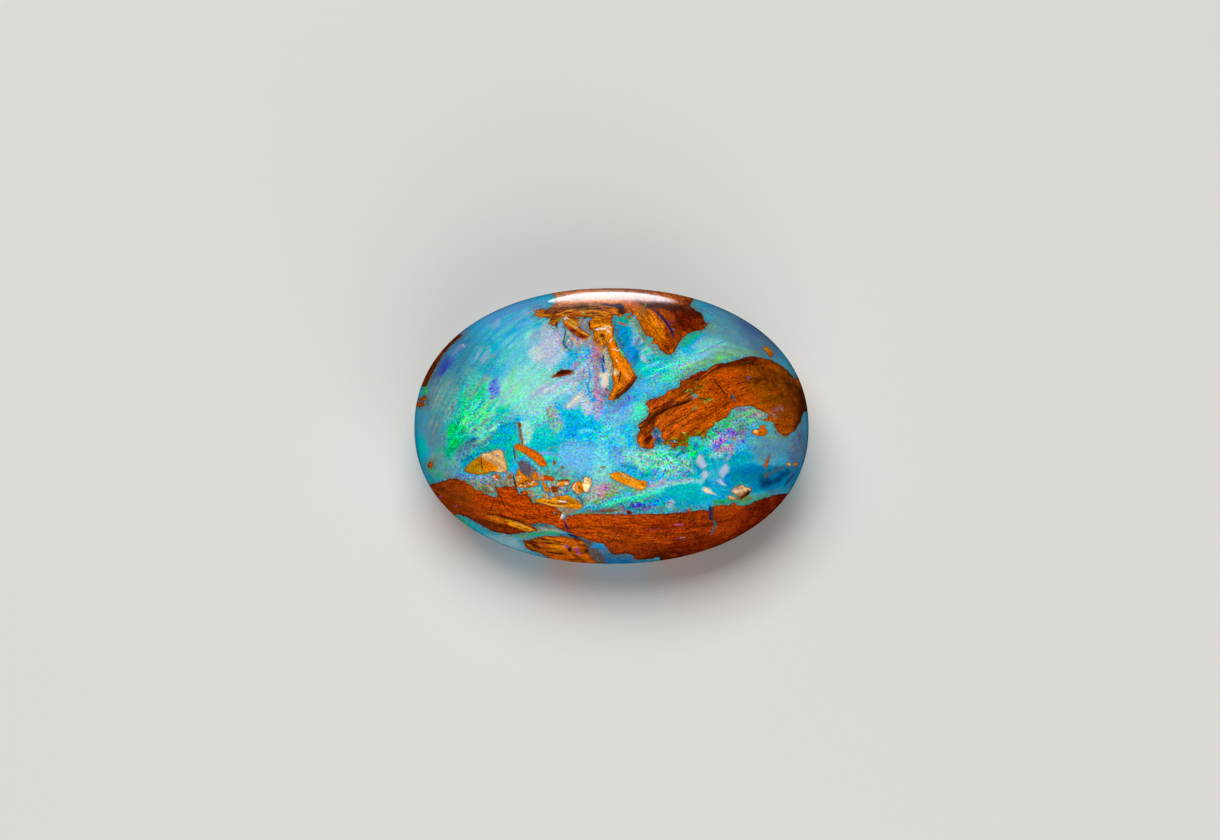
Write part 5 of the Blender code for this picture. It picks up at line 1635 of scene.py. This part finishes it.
# %% Painted highlights: glints of gold and cream, with painted shade between them
# painted highlights of gold and cream along the fibres, and painted shade (deep_shade) between them
glint_noise = noise(stretch(fibres, 3.5, 9.0, 4.0, 1.0), detail=3.0, roughness=0.6)
painted_gold_glint = times(span(glint_noise, 0.46, 0.60), stored("painted_glint"))
wood = mix(calc("MINIMUM", times(painted_gold_glint, 0.75), 1.0), wood, paint_of("gold"))
painted_cream_glint = times(span(glint_noise, 0.60, 0.70), span(stored("painted_glint"), 0.6, 1.4))
wood = mix(times(painted_cream_glint, 0.8), wood, paint_of("cream"))
deep_shade = times(span(glint_noise, 0.44, 0.33), times(stored("painted_glint"), 0.5))
wood = mix(deep_shade, wood, paint_of("umber"))
print("nodes up to the wood:", len(nodes))

# %% [markdown]
# ### Ragged edges
#
# The depth inside the outlines gets a fray before it is cut, as much of it as each place keeps. The last
# tenth of a millimetre of the wood is darker, where bark or mud lay against it. The opal next to it turns a
# deep teal here and there and holds crumbs of moss and olive, which fade out within half a millimetre.

# %% Laying the wood over the opal
soft_grain = noise(in_solid(5.0), detail=3.0, roughness=0.7)
sharp_grain = noise(in_solid(12.0, 3.0), detail=1.0)
FRAY_REACH = 0.34
fray_noise = noise(in_solid(4.5, 7.0), detail=3.0, roughness=0.65)
fray_here = calc("MULTIPLY_ADD", fray_noise, FRAY_REACH, -FRAY_REACH / 2)
edge = calc("MULTIPLY_ADD", fray_here, stored("fray"), stored("wood_depth"))
wood_mask = span(edge, -0.012, 0.028)
rind = times(span(edge, 0.13, 0.02), span(speckle, 0.35, 0.6, 0.25, 0.85))
rind = times(rind, calc("SUBTRACT", 1.0, times(stored("painted_glint"), 0.6)))
wood = mix(rind, wood, paint_of("bark"))
shore = times(span(edge, -0.16, -0.01), span(soft_grain, 0.40, 0.62, 0.0, 0.45))
opal = mix(shore, opal, paint_of("lagoon"))
crumb_tint = mix(span(soft_grain, 0.45, 0.55), paint_of("olive"), paint_of("moss"))
crumbs = times(span(edge, -0.42, -0.02), span(sharp_grain, 0.44, 0.60, 0.0, 0.80))
opal = mix(crumbs, opal, crumb_tint)
colour = mix(wood_mask, opal, wood)
print("nodes up to the ragged edges:", len(nodes))

# %% Laying the cracks over both
VEIN_WOBBLE = 0.10
VEIN_FRAY = 0.07
VEIN_COVER = 0.92
vein_noise = noise(in_solid(3.2, 4.0), detail=2.0)
vein_wobble = calc("MULTIPLY_ADD", vein_noise, VEIN_WOBBLE, -VEIN_WOBBLE / 2)
off_vein = calc("ABSOLUTE", calc("ADD", stored("vein_side"), vein_wobble))
vein_edge = calc("SUBTRACT", stored("vein_width"), off_vein)
vein_edge = calc("MULTIPLY_ADD", calc("SUBTRACT", sharp_grain, 0.5), VEIN_FRAY, vein_edge)
vein_mask = span(vein_edge, -0.015, 0.015)
colour = mix(times(vein_mask, VEIN_COVER), colour, stored("vein_colour", "Color"))
print("nodes up to the cracks:", len(nodes))

# %% The polish
POLISH_ROUGHNESS = 0.10
OPEN_VESSELS = 0.14
OPAL_IOR = 1.46
SHEEN = 0.22
dull_fibres = times(wood_mask, vessels)
feed(surface.inputs["Base Color"], colour)
feed(surface.inputs["Roughness"], calc("MULTIPLY_ADD", dull_fibres, OPEN_VESSELS, POLISH_ROUGHNESS))
surface.inputs["IOR"].default_value = OPAL_IOR
surface.inputs["Specular IOR Level"].default_value = SHEEN
stone_mesh.materials.append(opal_wood)
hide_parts("opalized_wood_stone")
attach(stone, "root")
print("nodes in the material:", len(nodes))

# %% [markdown]
# ## Floor, light and camera
#
# The stage is plain: a pale matt floor, an even sky and two large soft lights, one above and behind, one in
# front. A polished dome mirrors whatever stands round it, so floor, sky and both lights are kept out of its
# reflections. The one reflection that is wanted is a soft bright streak along the far rim. A low strip close
# behind the stone gives it: six flat lamps nested in each other, so that it is brightest in the middle and
# fades at its ends. They are seen in reflections only.

# %% The floor
FLOOR_REACH = 2.0
FLOOR_TINT = (0.80, 0.79, 0.77, 1)
floor_shape = bmesh.new()
bmesh.ops.create_grid(floor_shape, x_segments=1, y_segments=1, size=FLOOR_REACH)
floor_mesh = bpy.data.meshes.new("floor")
floor_shape.to_mesh(floor_mesh)
floor_shape.free()
floor = bpy.data.objects.new("floor", floor_mesh)
floor.location.z = low.z
bpy.context.scene.collection.objects.link(floor)
floor_paint = bpy.data.materials.new("pale_floor")
floor_paint.use_nodes = True
floor_surface = floor_paint.node_tree.nodes["Principled BSDF"]
floor_surface.inputs["Base Color"].default_value = FLOOR_TINT
floor_surface.inputs["Roughness"].default_value = 0.9
floor_surface.inputs["Specular IOR Level"].default_value = 0.0
floor_mesh.materials.append(floor_paint)
floor.visible_glossy = False
print(f"floor at {low.z / MM:.1f} mm")

# %% The two large lights
stone_top = Vector((0, 0, low.z + THICKNESS))


def soft_light(name, place_mm, size_mm, watts, tint=(1, 1, 1)):
    """A rectangular lamp that looks at the stone."""
    lamp = bpy.data.lights.new(name, "AREA")
    lamp.shape = "RECTANGLE"
    lamp.size, lamp.size_y = size_mm[0] * MM, size_mm[1] * MM
    lamp.energy = watts
    lamp.color = tint
    holder = bpy.data.objects.new(name, lamp)
    holder.location = Vector(place_mm) * MM
    holder.rotation_euler = (stone_top - holder.location).to_track_quat("-Z", "Y").to_euler()
    bpy.context.scene.collection.objects.link(holder)
    return holder


key = soft_light("key_light", (-40, 90, 300), (280, 240), 0.82, (1.0, 0.98, 0.95))
fill = soft_light("front_light", (60, -260, 150), (260, 180), 0.46, (1.0, 0.99, 0.97))
key.visible_glossy = False
fill.visible_glossy = False
print("large lights:", key.name, fill.name)

# %% The low strip, six lamps nested in each other
STRIP_PLACE = (-0.05, 17.0, 3.9)
STRIP_SIZE = (9.8, 5.2)
STRIP_WATTS = 0.0074
STRIP_TINT = (0.84, 1.0, 1.08)
STRIP_SHARES = (1.0, 0.95, 0.89, 0.82, 0.74, 0.65)
STRIP_LEAN = 0.8
for step, share in enumerate(STRIP_SHARES):
    size = [side * share for side in STRIP_SIZE]
    across = STRIP_PLACE[0] - STRIP_LEAN * (1 - share) * STRIP_SIZE[0] / 2
    watts = STRIP_WATTS / len(STRIP_SHARES) * share**2
    strip = soft_light(f"low_strip_{step + 1}", (across, *STRIP_PLACE[1:]), size, watts, STRIP_TINT)
    strip.data.shape = "ELLIPSE"
    strip.rotation_euler = (math.radians(90), 0, math.radians(180))
    strip.visible_camera = False
    strip.visible_diffuse = False
print("lamps in the strip:", len(STRIP_SHARES))

# %% The sky
SKY_TINT = (0.92, 0.95, 1.0, 1)
SKY_STRENGTH = 0.06
sky = bpy.data.worlds.new("even_sky")
sky.use_nodes = True
sky.node_tree.nodes["Background"].inputs["Color"].default_value = SKY_TINT
sky.node_tree.nodes["Background"].inputs["Strength"].default_value = SKY_STRENGTH
sky.cycles_visibility.glossy = False
bpy.context.scene.world = sky
bpy.context.scene.view_settings.view_transform = "Standard"
print("sky strength:", SKY_STRENGTH)

# %% The camera
SENSOR_WIDTH = 36.0
PICTURE_WIDTH = 61.93
camera_lens = bpy.data.cameras.new("camera")
camera_lens.sensor_width = SENSOR_WIDTH
camera_lens.lens = SENSOR_WIDTH * EYE_DISTANCE / PICTURE_WIDTH
camera_lens.clip_start = 10 * MM
camera = bpy.data.objects.new("camera", camera_lens)
turned = Matrix([rightward, upward, to_eye]).transposed().to_4x4()
camera.matrix_world = Matrix.Translation(Vector(eye * MM)) @ turned
bpy.context.scene.collection.objects.link(camera)
bpy.context.scene.camera = camera
print(f"lens {camera_lens.lens:.0f} mm at {EYE_DISTANCE:.0f} mm from the stone")

bpy.context.view_layer.update()
